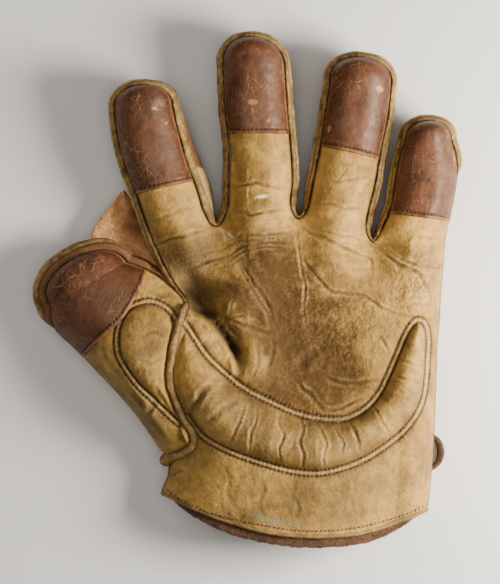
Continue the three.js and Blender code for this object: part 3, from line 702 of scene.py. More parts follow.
@dataclass(frozen=True)
class Noise:
    """Smooth seeded noise over the plan, from about -1 to 1: layers of random lattices, each half as coarse."""

    seed: int
    size: float
    layers: int = 3

    def at(self, plan: Array) -> Array:
        """Works out the noise.

        Args:
            plan: Places, with x and y on the last axis.

        Returns:
            A value for each place.
        """
        total = np.zeros(plan.shape[:-1])
        turn = 0.7
        where = plan[..., :2] / self.size
        for layer in range(self.layers):
            table = np.random.default_rng(self.seed * 31 + layer).uniform(-1, 1, (128, 128))
            cell = np.floor(where).astype(int)
            part = where - cell
            part = part * part * (3 - 2 * part)
            i, j = cell[..., 0] % 127, cell[..., 1] % 127
            low = table[i, j] + (table[i + 1, j] - table[i, j]) * part[..., 0]
            high = table[i, j + 1] + (table[i + 1, j + 1] - table[i, j + 1]) * part[..., 0]
            total += (low + (high - low) * part[..., 1]) * 0.5**layer
            x, y = where[..., 0], where[..., 1]
            where = 2.03 * np.stack([x * math.cos(turn) - y * math.sin(turn), x * math.sin(turn) + y * math.cos(turn)], -1)
        return total

    def lines(self, plan: Array, width: float) -> Array:
        """Gives 1 along the winding lines where the noise passes through 0, fading to 0 over width."""
        return np.exp(-((self.at(plan) / width) ** 2))


@dataclass(frozen=True)
class Course:
    """A smooth line in the plan through a few places."""

    places: tuple[Plan, ...]
    detail: int = 5

    def points(self) -> Array:
        """Gives the smoothed line as closely spaced points."""
        last = len(self.places) - 1
        return spline(np.array(self.places, float), np.linspace(0, last, last * self.detail + 1))

    def nearest(self, plan: Array, reach: float) -> tuple[Array, Array, Array]:
        """Finds how the line passes each place.

        Args:
            plan: Places, one in each row.
            reach: Places further away than this, in mm, are left at that distance.

        Returns:
            For each place its distance, how far along the line it lies from 0 to 1, and the side, 1 to the left.
        """
        line = self.points()
        distance = np.full(len(plan), reach)
        along = np.zeros(len(plan))
        side = np.ones(len(plan))
        near = np.all((plan > line.min(0) - reach) & (plan < line.max(0) + reach), axis=1)
        spots = np.flatnonzero(near)
        here = plan[spots]
        if not len(spots):
            return distance, along, side
        steps = np.diff(line, axis=0)
        lengths = np.linalg.norm(steps, axis=1)
        gone = np.concatenate([[0], np.cumsum(lengths)]) / lengths.sum()
        best = np.full(len(spots), reach)
        best_along = np.zeros(len(spots))
        best_side = np.ones(len(spots))
        for number, (start, step) in enumerate(zip(line[:-1], steps)):
            away = here - start
            share = np.clip(away @ step / lengths[number] ** 2, 0, 1)
            gap = np.linalg.norm(away - share[:, None] * step, axis=1)
            closer = gap < best
            best = np.where(closer, gap, best)
            best_along = np.where(closer, gone[number] + share * (gone[number + 1] - gone[number]), best_along)
            turn = step[0] * away[:, 1] - step[1] * away[:, 0]
            best_side = np.where(closer, np.sign(turn), best_side)
        distance[spots], along[spots], side[spots] = best, best_along, best_side
        return distance, along, side

    def offset(self, reach: float) -> "Course":
        """Gives the line moved sideways, to the left where reach is above 0."""
        line = self.points()
        way = unit(np.gradient(line, axis=0))
        moved = line + reach * np.column_stack([-way[:, 1], way[:, 0]])
        return Course(tuple(map(tuple, moved)), detail=1)


@dataclass
class Relief:
    """What is added to a leather's height, and the masks that its finish reads, at a set of places."""

    plan: Array
    height: Array = field(init=False)
    masks: dict[str, Array] = field(init=False)

    def __post_init__(self) -> None:
        """Starts flat, with every mask at 0."""
        self.height = np.zeros(len(self.plan))
        # Two masks carry painted light besides real marks: dark crease lines with painted shade and shadow, and worn
        # places with painted sheen.
        self.masks = {name: np.zeros(len(self.plan)) for name in ("grime", "crease", "rubbed", "shade", "raw", "green")}

    def mark(self, name: str, values: Array) -> None:
        """Adds to a mask, where two marks never pass 1 together."""
        self.masks[name] = 1 - (1 - self.masks[name]) * (1 - np.clip(values, 0, 1))


FOLD_STRENGTH = 1.45


@dataclass(frozen=True)
class Crease:
    """A fold line: a groove with raised shoulders, and fainter wrinkles beside it where echo is above 0."""

    places: tuple[Plan, ...]
    depth: float = 0.6
    width: float = 0.9
    echo: float = 0.0
    dark: float = 0.6
    rub_and_sheen: float = 0.35
    lean: float = 0.0

    def press(self, relief: Relief) -> None:
        """Presses the fold into a relief, with painted shade in its groove and painted sheen on its shoulders.

        The groove is -depth * exp(-(d / width)^2), its shoulders stand at 1.9 widths, and it fades at both ends.

        Args:
            relief: The relief that it is added to.
        """
        spacing = 2.3 * self.width
        reach = max(4 * self.width, 4.5 * spacing * (self.echo > 0), 6 * self.width * (self.lean != 0))
        wander = Noise(7, 5.0, 3)
        drift = np.column_stack([wander.at(relief.plan), wander.at(relief.plan + 57.3)]) * 0.45
        gap, along, side = Course(self.places).nearest(relief.plan + drift, reach)
        ends = np.sin(np.pi * np.clip(along, 0, 1)) ** 0.6
        uneven = 0.75 + 0.35 * Noise(11, 4.0, 2).at(relief.plan)
        force = ends * uneven * (gap < reach)
        groove = np.exp(-((gap / self.width) ** 2))
        shoulder = np.exp(-(((gap - 1.9 * self.width) / (0.8 * self.width)) ** 2))
        relief.height += FOLD_STRENGTH * force * self.depth * (0.35 * shoulder - groove)
        if self.lean:
            relief.height += force * self.lean * side * (gap / self.width) * np.exp(-((gap / (2.2 * self.width)) ** 2))
        if self.echo:
            waves = 0.5 + 0.5 * np.cos(2 * np.pi * gap / spacing + 0.8 * wander.at(relief.plan * 0.7))
            fade = np.exp(-gap / (1.6 * spacing)) * (gap > 0.4 * spacing)
            relief.height -= FOLD_STRENGTH * force * self.echo * self.depth * waves * fade
            relief.mark("crease", force * self.echo * 0.55 * waves**2 * fade)
        # The groove's line is darkened, part dirt and part painted shade, and its shoulders are lightened, part wear
        # and part painted sheen.
        relief.mark("crease", force * self.dark * np.exp(-((gap / (0.75 * self.width)) ** 2)))
        relief.mark("rubbed", force * self.rub_and_sheen * shoulder)


@dataclass(frozen=True)
class StitchedLine:
    """A double row of stitches: two grooves with a worn ridge between them, pressed into a shallow valley, with painted
    shade in grooves and valley.
    """

    course: Course
    spread: float = 1.3
    groove: float = 0.8
    valley: float = 1.0
    pitch: float = 1.95

    def press(self, relief: Relief) -> None:
        """Presses the valley, the grooves and the puckers between stitches into a relief.

        Args:
            relief: The relief that it is added to.
        """
        gap, along, _ = self.course.nearest(relief.plan, 6.0)
        near = gap < 6.0
        row = np.exp(-(((gap - self.spread) / 0.46) ** 2))
        ridge = np.exp(-((gap / 0.75) ** 2))
        length = np.linalg.norm(np.diff(self.course.points(), axis=0), axis=1).sum()
        beat = np.cos(2 * np.pi * along * length / self.pitch)
        pucker = beat * np.exp(-(((gap - 2.2) / 0.8) ** 2))
        valley = np.exp(-((gap / 2.8) ** 2))
        relief.height += near * (0.45 * ridge * (1 + 0.35 * beat) - self.groove * row - self.valley * valley + 0.14 * pucker)
        # Painted shade in the two grooves and the valley; the ridge is lighter, part wear and part painted sheen.
        relief.mark("crease", near * 0.9 * row)
        relief.mark("rubbed", near * 0.7 * ridge)
        relief.mark("shade", near * 0.35 * valley)

    def rows(self) -> list[Course]:
        """Gives the two rows of stitches."""
        return [self.course.offset(side * self.spread) for side in (-1, 1)]


@dataclass(frozen=True)
class Swell:
    """A soft mound or hollow: height * exp(-r^2), with r measured in its two radii."""

    middle: Plan
    radii: Plan
    height: float
    turn: float = 0.0

    def amount(self, plan: Array) -> Array:
        """Works out the share of the full height at each place."""
        angle = math.radians(self.turn)
        away = plan - np.array(self.middle)
        u = (away[:, 0] * math.cos(angle) + away[:, 1] * math.sin(angle)) / self.radii[0]
        v = (away[:, 1] * math.cos(angle) - away[:, 0] * math.sin(angle)) / self.radii[1]
        return np.exp(-(u * u + v * v))

    def press(self, relief: Relief) -> None:
        """Adds the mound to a relief."""
        relief.height += self.height * self.amount(relief.plan)


@dataclass(frozen=True)
class Stain:
    """A soft patch of one mask, broken up by noise."""

    mask: str
    middle: Plan
    radii: Plan
    strength: float
    turn: float = 0.0

    def press(self, relief: Relief) -> None:
        """Adds the patch to its mask."""
        patch = Swell(self.middle, self.radii, 1, self.turn).amount(relief.plan)
        uneven = 0.95 + 0.3 * Noise(23, 7.0, 4).at(relief.plan)
        relief.mark(self.mask, self.strength * patch * uneven)


HEEL_INNER = Course((
    (-29.3, -15.8), (-24.6, -23.2), (-19.1, -31.2), (-13.0, -37.2), (-6.0, -43.2), (0.9, -47.9), (10.2, -52.5),
    (19.5, -56.7), (28.8, -59.5), (40.5, -60.5), (47.4, -59.1), (54.4, -54.9), (60.0, -48.8), (63.7, -41.9),
    (68.4, -31.2), (72.1, -22.3), (74.9, -17.2), (78.1, -14.6), (81.4, -15.8), (83.2, -20.0), (83.7, -25.6),
))
HEEL_OUTER = Course((
    (83.7, -25.6), (83.2, -33.5), (82.8, -40.5), (81.4, -49.8), (78.1, -57.7), (71.1, -66.5), (64.2, -72.1),
    (54.9, -78.1), (45.1, -82.3), (33.5, -85.1), (21.9, -84.6), (10.2, -81.8), (-1.4, -78.1), (-10.7, -74.4),
    (-20.0, -69.3), (-24.6, -64.6), (-28.4, -59.1),
))
HEEL_SEAM = Course((*HEEL_INNER.places, *HEEL_OUTER.places[1:]))
HEEL_WELT_SIDE = ((-31.0, -54.4), (-33.3, -47.4), (-33.7, -38.1), (-32.6, -28.8), (-30.4, -20.5), (-29.3, -15.8))
THUMB_LEAF = Course((
    (-33.5, -14.0), (-35.3, -11.2), (-39.5, -7.9), (-44.2, -6.2), (-48.0, -6.2), (-53.9, -8.4), (-57.2, -11.8),
    (-59.5, -17.2), (-60.5, -24.2), (-59.5, -31.2), (-55.8, -38.1), (-50.2, -45.6), (-44.2, -51.2), (-37.7, -57.7),
    (-32.1, -62.6),
))
CUFF_STITCHES = Course((
    (-38.1, -93.6), (-33.5, -96.8), (-27.0, -100.2), (-20.0, -102.9), (-12.1, -105.2), (-1.4, -107.7), (6.5, -109.1),
    (19.5, -111.3), (33.5, -111.8), (47.4, -110.8), (61.4, -108.0), (74.4, -104.2), (83.7, -100.3),
))


def inside(plan: Array, outline: Array) -> Array:
    """Tells which places lie inside an outline, by counting the sides that a ray to the right crosses.

    Args:
        plan: Places, one in each row.
        outline: Corners of the closed outline.

    Returns:
        True for the places inside.
    """
    x, y = plan[:, 0], plan[:, 1]
    within = np.zeros(len(plan), bool)
    for (x1, y1), (x2, y2) in zip(outline, np.roll(outline, -1, axis=0)):
        if y1 == y2:
            continue
        crossing = x1 + (y - y1) * (x2 - x1) / (y2 - y1)
        within ^= ((y1 > y) != (y2 > y)) & (x < crossing)
    return within


@dataclass(frozen=True)
class HeelPad:
    """The padded crescent: between its inner and outer lines it swells as a dome across, less where it is narrow."""

    rise: float = 7.4
    full_width: float = 21.0

    def press(self, relief: Relief) -> None:
        """Adds the swelling, and the drag lines that its curve presses into the leather.

        Args:
            relief: The relief that it is added to.
        """
        outer = Course((*HEEL_OUTER.places, *HEEL_WELT_SIDE))
        outline = np.vstack([HEEL_INNER.points(), outer.points()[1:-1]])
        within = inside(relief.plan, outline)
        from_inner, along, _ = HEEL_INNER.nearest(relief.plan, 60.0)
        from_outer, _, _ = outer.nearest(relief.plan, 60.0)
        free_in, free_out = np.maximum(from_inner - 1.4, 0), np.maximum(from_outer - 1.2, 0)
        width = np.maximum(free_in + free_out, 0.5)
        across = free_in / width
        size = np.clip(width / self.full_width, 0, 1) ** 0.8
        arch = dome(across, 2.1, 2.3)
        relief.height += within * self.rise * size * arch
        drag = Noise(41, 1.0, 2).at(np.column_stack([along * 62.0, across * 2.2]))
        drag = drag * smooth_step(along, 0.05, 0.3)
        relief.height += within * 0.26 * drag * arch
        relief.mark("crease", within * np.clip(-drag - 0.45, 0, 1) * arch * 0.8)
        relief.mark("rubbed", within * np.clip(drag - 0.3, 0, 1) * arch * 0.5)


@dataclass(frozen=True)
class ThumbPad:
    """The leaf on the thumb: inside its stitched line the leather rises over the first few millimetres."""

    rise: float = 3.2
    shoulder: float = 9.0

    def press(self, relief: Relief) -> None:
        """Adds the leaf's swelling.

        Args:
            relief: The relief that it is added to.
        """
        outline = np.vstack([THUMB_LEAF.points(), WELT[1:7, :2]])
        within = inside(relief.plan, outline)
        gap, along, _ = THUMB_LEAF.nearest(relief.plan, 40.0)
        share = np.clip((gap - 1.3) / self.shoulder, 0, 1)
        relief.height += within * self.rise * (1 - (1 - share) ** 2.4)
        drag = Noise(43, 1.0, 2).at(np.column_stack([along * 40.0, share * 2.0]))
        relief.height += within * 0.22 * drag * (1 - share) * share * 4


PALM_CREASES = (
    Crease(((-8, 17), (-4, 12), (0, 6), (4, -1), (8.5, -7), (11, -13), (12.5, -20), (13, -27)), 0.3, 2.6, 0, 0.15, 0, -0.8),
    Crease(((-31, 6), (-26, 8.5), (-17.5, 12.5), (-9.5, 15), (-1.5, 19), (7, 21), (16.5, 21), (23, 21)), 0.8, 0.9, 0.8, 0.75),
    Crease(((-7, 23), (-0.5, 24.5), (6.5, 24), (14, 25.5), (21.5, 26)), 0.5, 0.7, 0.5, 0.6),
    Crease(((-4.5, 21.5), (2, 22), (9.5, 23), (16.5, 23)), 0.4, 0.6, 0.4, 0.6),
    Crease(((-16, 11.5), (-9.5, 13.5), (-3.5, 16), (2, 18.5), (8.5, 19), (15, 18.5)), 0.5, 0.7, 0.5, 0.6),
    Crease(((-31, -1), (-28.5, -7), (-24, -10.5), (-18.5, -13.5), (-14, -18.5), (-10, -23.5), (-6.5, -29), (-4.5, -35), (-4.5, -41)), 2.8, 1.5, 0, 1.2, 0.1, -1.5),
    Crease(((-29, 3), (-26.5, -4), (-22, -8.5), (-16.5, -11.5), (-12, -17), (-8, -23), (-4.5, -29), (-3, -36)), 1.2, 3.4, 0, 0.85, 0),
    Crease(((-12.5, -12.5), (-7, -15.5), (1, -17.5), (6.5, -20), (10.5, -21)), 0.8, 0.9, 0.5, 0.6, 0.3),
    Crease(((-7.5, -13.5), (-8, -9.5), (-7, -5.5)), 0.2, 0.6, 0, 0.2, 0.5),
    Crease(((-9.5, -14.5), (-5.5, -13.5), (-1.5, -13)), 0.25, 0.6, 0, 0.25, 0.5),
    Crease(((-9.5, -15.5), (-8, -19), (-4.5, -22)), 0.25, 0.6, 0, 0.25, 0.5),
    Crease(((-6, 15), (-4, 10.5), (-1.5, 5.5), (3, -2.5), (6.5, -7.5), (9.5, -13), (11, -18.5)), 0.45, 0.6, 0.3, 0.6, 0.3),
    Crease(((-4, 14.5), (-1, 8), (3.5, 1), (7.5, -5), (10, -10.5), (12, -17)), 0.5, 0.7, 0, 0.7, 0.1, 0.3),
    Crease(((11, -20), (12, -25), (11.5, -30.5), (9.5, -37), (8, -43.5)), 0.4, 0.8, 0.3, 0.5, 0.1),
    Crease(((3, -24), (5, -30), (4.5, -36.5), (1.5, -43)), 0.4, 0.7, 0.3, 0.45, 0.3),
    Crease(((22.5, 30), (23, 22.5), (24.5, 11.5), (26.5, 2), (26, -10), (27, -18.5)), 0.35, 0.55, 0.3, 0.35, 1.0),
    Crease(((24.5, 16.5), (26.5, 11.5), (31.5, 6), (38, -1.5), (47.5, -2.5), (54, -4), (63, -10), (72, -13), (81, -14), (89, -15)), 0.8, 0.8, 0.45, 0.6, 0.6),
    Crease(((27, 27), (35.5, 22.5), (43.5, 19.5), (51.5, 16), (56.5, 13.5), (57, 6)), 0.7, 0.8, 0.5, 0.6, 0.5),
    Crease(((23, 29.5), (28.5, 25.5), (34, 22), (42, 21), (48, 20.5)), 0.5, 0.6, 0.4, 0.5, 0.5),
    Crease(((28, 28), (36, 25.5), (45, 24), (54, 22.5)), 0.5, 0.6, 0.4, 0.5, 0.4),
    Crease(((59, 20.5), (64, 15), (71, 10), (76.5, 8), (80, 5), (83.5, -0.5), (85, -5.5)), 1.2, 1.0, 0.5, 0.7, 0.8),
    Crease(((63, 18), (70, 13.5), (77.5, 10.5), (85, 9.5), (91, 8.5)), 0.7, 0.8, 0.4, 0.5, 0.6),
    Crease(((72.5, 24), (78, 23), (84.5, 22.5), (90, 23)), 0.5, 0.9, 0.2, 0.35),
    Crease(((60, -22), (63, -26), (65.5, -30)), 0.4, 0.6, 0, 0.6),
    Crease(((24, -43.5), (25.5, -46.5), (28, -48), (30.5, -51)), 0.4, 0.8, 0.3, 0.5),
    Crease(((34, -39.5), (39.5, -43), (47.5, -44), (55, -43), (60.5, -42)), 0.6, 0.8, 0.4, 0.5),
    Crease(((24, -45), (30, -51), (34.5, -56), (40.5, -56), (50, -52), (57.5, -48.5)), 0.5, 0.8, 0.3, 0.5),
    Crease(((24, -39), (25.5, -35.5), (28.5, -31.5), (32, -30)), 0.5, 2.2, 0.2, 0.5, 0.1),
    Crease(((-7.5, 46.5), (-1, 47.5), (5.5, 48), (12, 46.5), (18, 46)), 0.7, 0.8, 0.4, 0.6),
    Crease(((-7.5, 35), (-3.5, 35.5), (1.5, 33.5), (6.5, 35), (12.5, 35.5), (16.5, 36.5)), 0.8, 0.7, 0.3, 0.75),
    Crease(((34.5, 51), (40, 49.5), (46.5, 50), (53, 51), (57.5, 50.5)), 0.6, 0.8, 0.4, 0.6),
    Crease(((31, 39), (38, 39), (43.5, 37), (49.5, 36.5), (55, 37)), 0.7, 0.7, 0.4, 0.7),
    Crease(((-45.5, 19), (-37.5, 22), (-30, 24), (-22.5, 26.5), (-16, 28)), 0.7, 0.8, 0.3, 0.7),
    Crease(((-50, 30.5), (-42, 32), (-33.5, 35), (-25, 38)), 0.4, 0.9, 0.3, 0.35),
    Crease(((-3, -50), (-8, -53.5), (-13.5, -57), (-18, -61.5), (-21.5, -66)), 0.7, 1.3, 0, 0.6, 0.3),
    Crease(((-13, -40), (-17, -44.5), (-21.5, -48.5), (-25, -55), (-26, -60.5)), 0.8, 1.4, 0, 0.6, 0.3),
    Crease(((5, -86), (7.5, -92.5), (5.5, -99.5), (7.5, -105.5)), 0.16, 1.0, 0, 0.22, 0.2),
    Crease(((22.5, -88.5), (20.5, -95), (23.5, -101), (22, -107)), 0.2, 0.9, 0, 0.28, 0.2),
    Crease(((-12.5, -81), (-8, -87.5), (-9.5, -95), (-5, -102.5)), 0.2, 1.0, 0, 0.25, 0.2),
    Crease(((47.5, -84.5), (49.5, -91.5), (47.5, -98.5), (50, -105.5)), 0.12, 0.9, 0, 0.16, 0.2),
    Crease(((-1, -52), (-2.5, -58), (-6, -65), (-8, -72)), 0.35, 0.6, 0, 0.5, 0.7),
    Crease(((4.5, -54), (3.5, -61), (1, -67), (0.5, -76)), 0.4, 0.6, 0, 0.5, 0.7),
    Crease(((15, -56), (14, -61), (16.5, -67), (14.5, -73), (15.5, -81)), 0.4, 0.6, 0, 0.55, 0.7),
    Crease(((24, -59.5), (25.5, -65), (23.5, -70), (25.5, -76), (24.5, -83)), 0.55, 0.65, 0, 0.65, 0.8),
    Crease(((31.5, -61), (34, -66), (36, -71.5), (34.5, -77), (36, -83)), 0.45, 0.6, 0, 0.6, 0.7),
    Crease(((39.5, -62), (41, -66.5), (43.5, -71), (43, -76.5)), 0.45, 0.6, 0, 0.6, 0.7),
    Crease(((46.5, -61), (48.5, -65), (50.5, -70.5), (52, -75.5)), 0.5, 0.65, 0, 0.6, 0.8),
    Crease(((56.5, -53), (60.5, -58.5), (62.5, -63), (66, -67)), 0.45, 0.6, 0, 0.5, 0.7),
    Crease(((65.5, -38.5), (70.5, -41.5), (76.5, -43), (81.5, -44)), 0.5, 0.7, 0, 0.45, 0.6),
    Crease(((67, -32), (72.5, -34), (77.5, -35), (82.5, -35.5)), 0.4, 0.6, 0, 0.45, 0.6),
    Crease(((-35.5, -87.5), (-33, -86), (-30, -84.5)), 1.3, 0.7, 0, 1.0, 0.2),
)
PALM_SWELLS = (
    Swell((-4.0, -5.0), (10.0, 12.0), 3.8, 20),
    Swell((1.5, -31.5), (8.0, 11.0), 5.4, 8),
    Swell((-19.0, -22.5), (4.0, 11.0), 1.8, 48),
    Swell((-25.5, -1.0), (5.0, 9.0), -5.2, 20),
    Swell((-15.0, -13.0), (3.8, 10.0), -3.0, 42),
    Swell((-6.0, -29.0), (3.2, 9.0), -2.6, 30),
    Swell((20.0, -6.0), (7.0, 16.0), -0.8, 0),
    Swell((41.0, 10.5), (12.0, 7.0), 1.0, -10),
    Swell((76.0, -2.0), (9.0, 9.0), 1.2, 0),
    Swell((4.0, 27.5), (11.0, 5.0), 0.7, 0),
)
# Grime patches are dirt. Shade patches are painted shade where the light falls less: by the hollow and the index
# finger's root, along the fold, over the lower crescent and the cuff. The dark line patches by the hollow paint the
# deep fold's shadow.
PALM_STAINS = (
    Stain("grime", (15.0, -10.0), (14.0, 26.0), 1.1, 10),
    Stain("grime", (1.0, -4.0), (14.0, 14.0), 1.0),
    Stain("grime", (31.0, -16.0), (20.0, 26.0), 0.95),
    Stain("grime", (16.0, 8.0), (20.0, 9.0), 0.75),
    Stain("grime", (30.0, -36.0), (17.0, 14.0), 1.1),
    Stain("grime", (24.0, -49.0), (24.0, 7.0), 0.85, -4),
    Stain("grime", (50.0, -8.0), (14.0, 14.0), 0.35),
    Stain("grime", (50.0, -42.0), (14.0, 9.0), 0.6, -8),
    Stain("grime", (-4.0, -46.0), (12.0, 9.0), 0.5, -30),
    Stain("grime", (30.0, -60.0), (30.0, 7.0), 0.6, 4),
    Stain("grime", (8.0, 20.0), (16.0, 7.0), 0.6),
    Stain("grime", (33.0, 26.0), (5.0, 4.0), 0.4),
    Stain("grime", (43.0, 28.0), (3.5, 3.0), 0.4),
    Stain("grime", (46.0, 46.0), (8.0, 6.0), 0.3),
    Stain("grime", (7.0, 40.0), (9.0, 5.0), 0.3),
    Stain("shade", (24.0, -70.0), (34.0, 14.0), 0.85, 4),
    Stain("shade", (-2.0, -56.0), (17.0, 11.0), 0.85, -28),
    Stain("shade", (22.0, -97.0), (42.0, 13.0), 0.6),
    Stain("shade", (60.0, -84.0), (18.0, 16.0), 0.6),
    Stain("shade", (-28.0, 5.0), (8.0, 14.0), 1.0, 15),
    Stain("shade", (-22.5, 13.5), (10.0, 7.0), 1.0, 15),
    Stain("shade", (-30.5, 1.0), (4.5, 12.0), 1.0, 12),
    Stain("crease", (-27.0, -5.0), (2.0, 5.0), 0.7, 25),
    Stain("shade", (-22.0, 18.5), (8.0, 9.0), 0.8),
    Stain("shade", (-15.0, -50.0), (9.0, 9.0), 0.5),
    Stain("shade", (22.0, -106.0), (60.0, 5.5), 0.5),
    Stain("shade", (-20.0, -4.0), (5.0, 9.0), 0.8, 15),
    Stain("shade", (-22.0, -50.0), (9.0, 12.0), 0.6),
    Stain("shade", (76.0, -50.0), (6.0, 16.0), 0.5, -15),
    Stain("grime", (26.0, -27.0), (12.0, 14.0), 0.6),
    Stain("grime", (-33.0, 16.0), (7.0, 9.0), 0.35),
    Stain("grime", (13.0, -19.0), (8.0, 9.0), 0.6),
    Stain("grime", (34.0, -36.0), (8.0, 7.0), 0.7),
    Stain("crease", (-25.5, -4.5), (2.8, 6.5), 0.9, 22),
    Stain("crease", (-18.0, -13.5), (1.7, 7.5), 1.0, 52),
    Stain("crease", (-9.5, -24.0), (1.7, 6.5), 1.0, 33),
    Stain("shade", (-13.0, -15.5), (3.8, 12.0), 0.8, 42),
    Stain("shade", (-5.0, -30.0), (4.0, 10.0), 0.6, 30),
    Stain("raw", (6.5, 42.2), (2.3, 0.6), 1.3, 8),
    Stain("raw", (-12.5, 26.8), (0.35, 2.2), 0.6, 40),
    Stain("raw", (-8.6, 24.8), (0.35, 2.6), 0.65, 52),
    Stain("raw", (-10.8, 23.2), (0.3, 1.8), 0.5, 20),
    Stain("green", (4.7, -104.6), (2.6, 1.1), 0.9, -20),
    Stain("green", (11.5, -107.0), (4.0, 1.2), 1.0, -8),
    Stain("green", (20.5, -108.6), (3.2, 1.0), 0.8),
    Stain("green", (70.5, -104.0), (1.6, 1.4), 0.5),
    Stain("shade", (-38.0, 16.0), (14.0, 14.0), 0.6, 15),
    Stain("shade", (-50.0, 30.0), (9.0, 14.0), 0.6, 15),
    Stain("shade", (16.0, -28.0), (24.0, 34.0), 0.35),
)
THUMB_CREASES = (
    Crease(((-58.0, -40.0), (-62.5, -36.0), (-66.0, -30.0), (-67.0, -22.0)), 0.5, 1.2, 0.4, 0.3),
    Crease(((-40.0, -33.0), (-45.5, -34.5), (-51.0, -33.0)), 0.4, 0.9, 0.4, 0.35),
    Crease(((-38.5, -22.0), (-44.0, -20.5), (-50.0, -22.5)), 0.35, 0.9, 0.4, 0.3),
    Crease(((-36.0, -2.5), (-41.0, -3.5), (-47.0, -0.5), (-51.5, 2.0)), 0.5, 1.0, 0.4, 0.3),
    Crease(((-41.0, -50.0), (-45.0, -56.0), (-47.0, -61.0)), 0.6, 1.2, 0.3, 0.4),
    Crease(((-34.0, -56.0), (-38.5, -52.0), (-43.5, -46.0)), 0.5, 1.0, 0.3, 0.35),
    Crease(((-56.5, -45.0), (-50.0, -52.0), (-44.0, -59.0)), 0.5, 1.3, 0.3, 0.3),
)
THUMB_STAINS = (
    Stain("shade", (-55.0, -50.0), (16.0, 10.0), 0.6, -45),
    Stain("shade", (-40.0, -66.0), (12.0, 9.0), 0.7),
    Stain("shade", (-70.0, -34.0), (8.0, 14.0), 0.5, 20),
    Stain("grime", (-46.0, -24.0), (12.0, 14.0), 0.25),
    Stain("shade", (-46.0, -26.0), (12.0, 20.0), 0.7),
    Stain("grime", (-47.0, -52.0), (10.0, 8.0), 0.35),
)


@dataclass
class HeightMap:
    """The highest points of a leather over a fine square raster of its plan."""

    low: Array
    cell: float
    heights: Array

    @classmethod
    def of(cls, points: Array, cell: float = 0.45) -> "HeightMap":
        """Lays points on the raster and fills the cells between them from their neighbours.

        Args:
            points: Points of the leather.
            cell: Side of a raster cell.

        Returns:
            The map.
        """
        low = points[:, :2].min(0) - 2 * cell
        spots = ((points[:, :2] - low) / cell).astype(int)
        heights = np.full(spots.max(0) + 3, -np.inf)
        np.maximum.at(heights, (spots[:, 0], spots[:, 1]), points[:, 2])
        for _ in range(6):
            empty = np.isinf(heights)
            known = np.where(empty, 0, heights)
            total, count = np.zeros_like(known), np.zeros_like(known)
            for axis in (0, 1):
                for way in (-1, 1):
                    total += np.roll(known, way, axis)
                    count += np.roll(~empty, way, axis)
            heights = np.where(empty & (count > 0), total / np.maximum(count, 1), heights)
        return cls(low, cell, np.where(np.isinf(heights), SIDE_MIDDLE, heights))

    def at(self, plan: Array) -> Array:
        """Gives the height at each place, mixed from the four cells round it."""
        where = (plan - self.low) / self.cell - 0.5
        limit = np.array(self.heights.shape) - 2
        where = np.clip(where, 0, limit)
        i, j = np.minimum(where.astype(int), limit.astype(int)).T
        u, v = (where - np.column_stack([i, j])).T
        h = self.heights
        return (h[i, j] * (1 - u) + h[i + 1, j] * u) * (1 - v) + (h[i, j + 1] * (1 - u) + h[i + 1, j + 1] * u) * v

    def normals(self, plan: Array) -> Array:
        """Gives the upward normal at each place, from heights half a millimetre to each side."""
        reach = 0.5
        slopes = [
            (self.at(plan + step) - self.at(plan - step)) / (2 * reach) for step in (np.array([reach, 0]), np.array([0, reach]))
        ]
        return unit(np.column_stack([-slopes[0], -slopes[1], np.ones(len(plan))]))


# Finishes


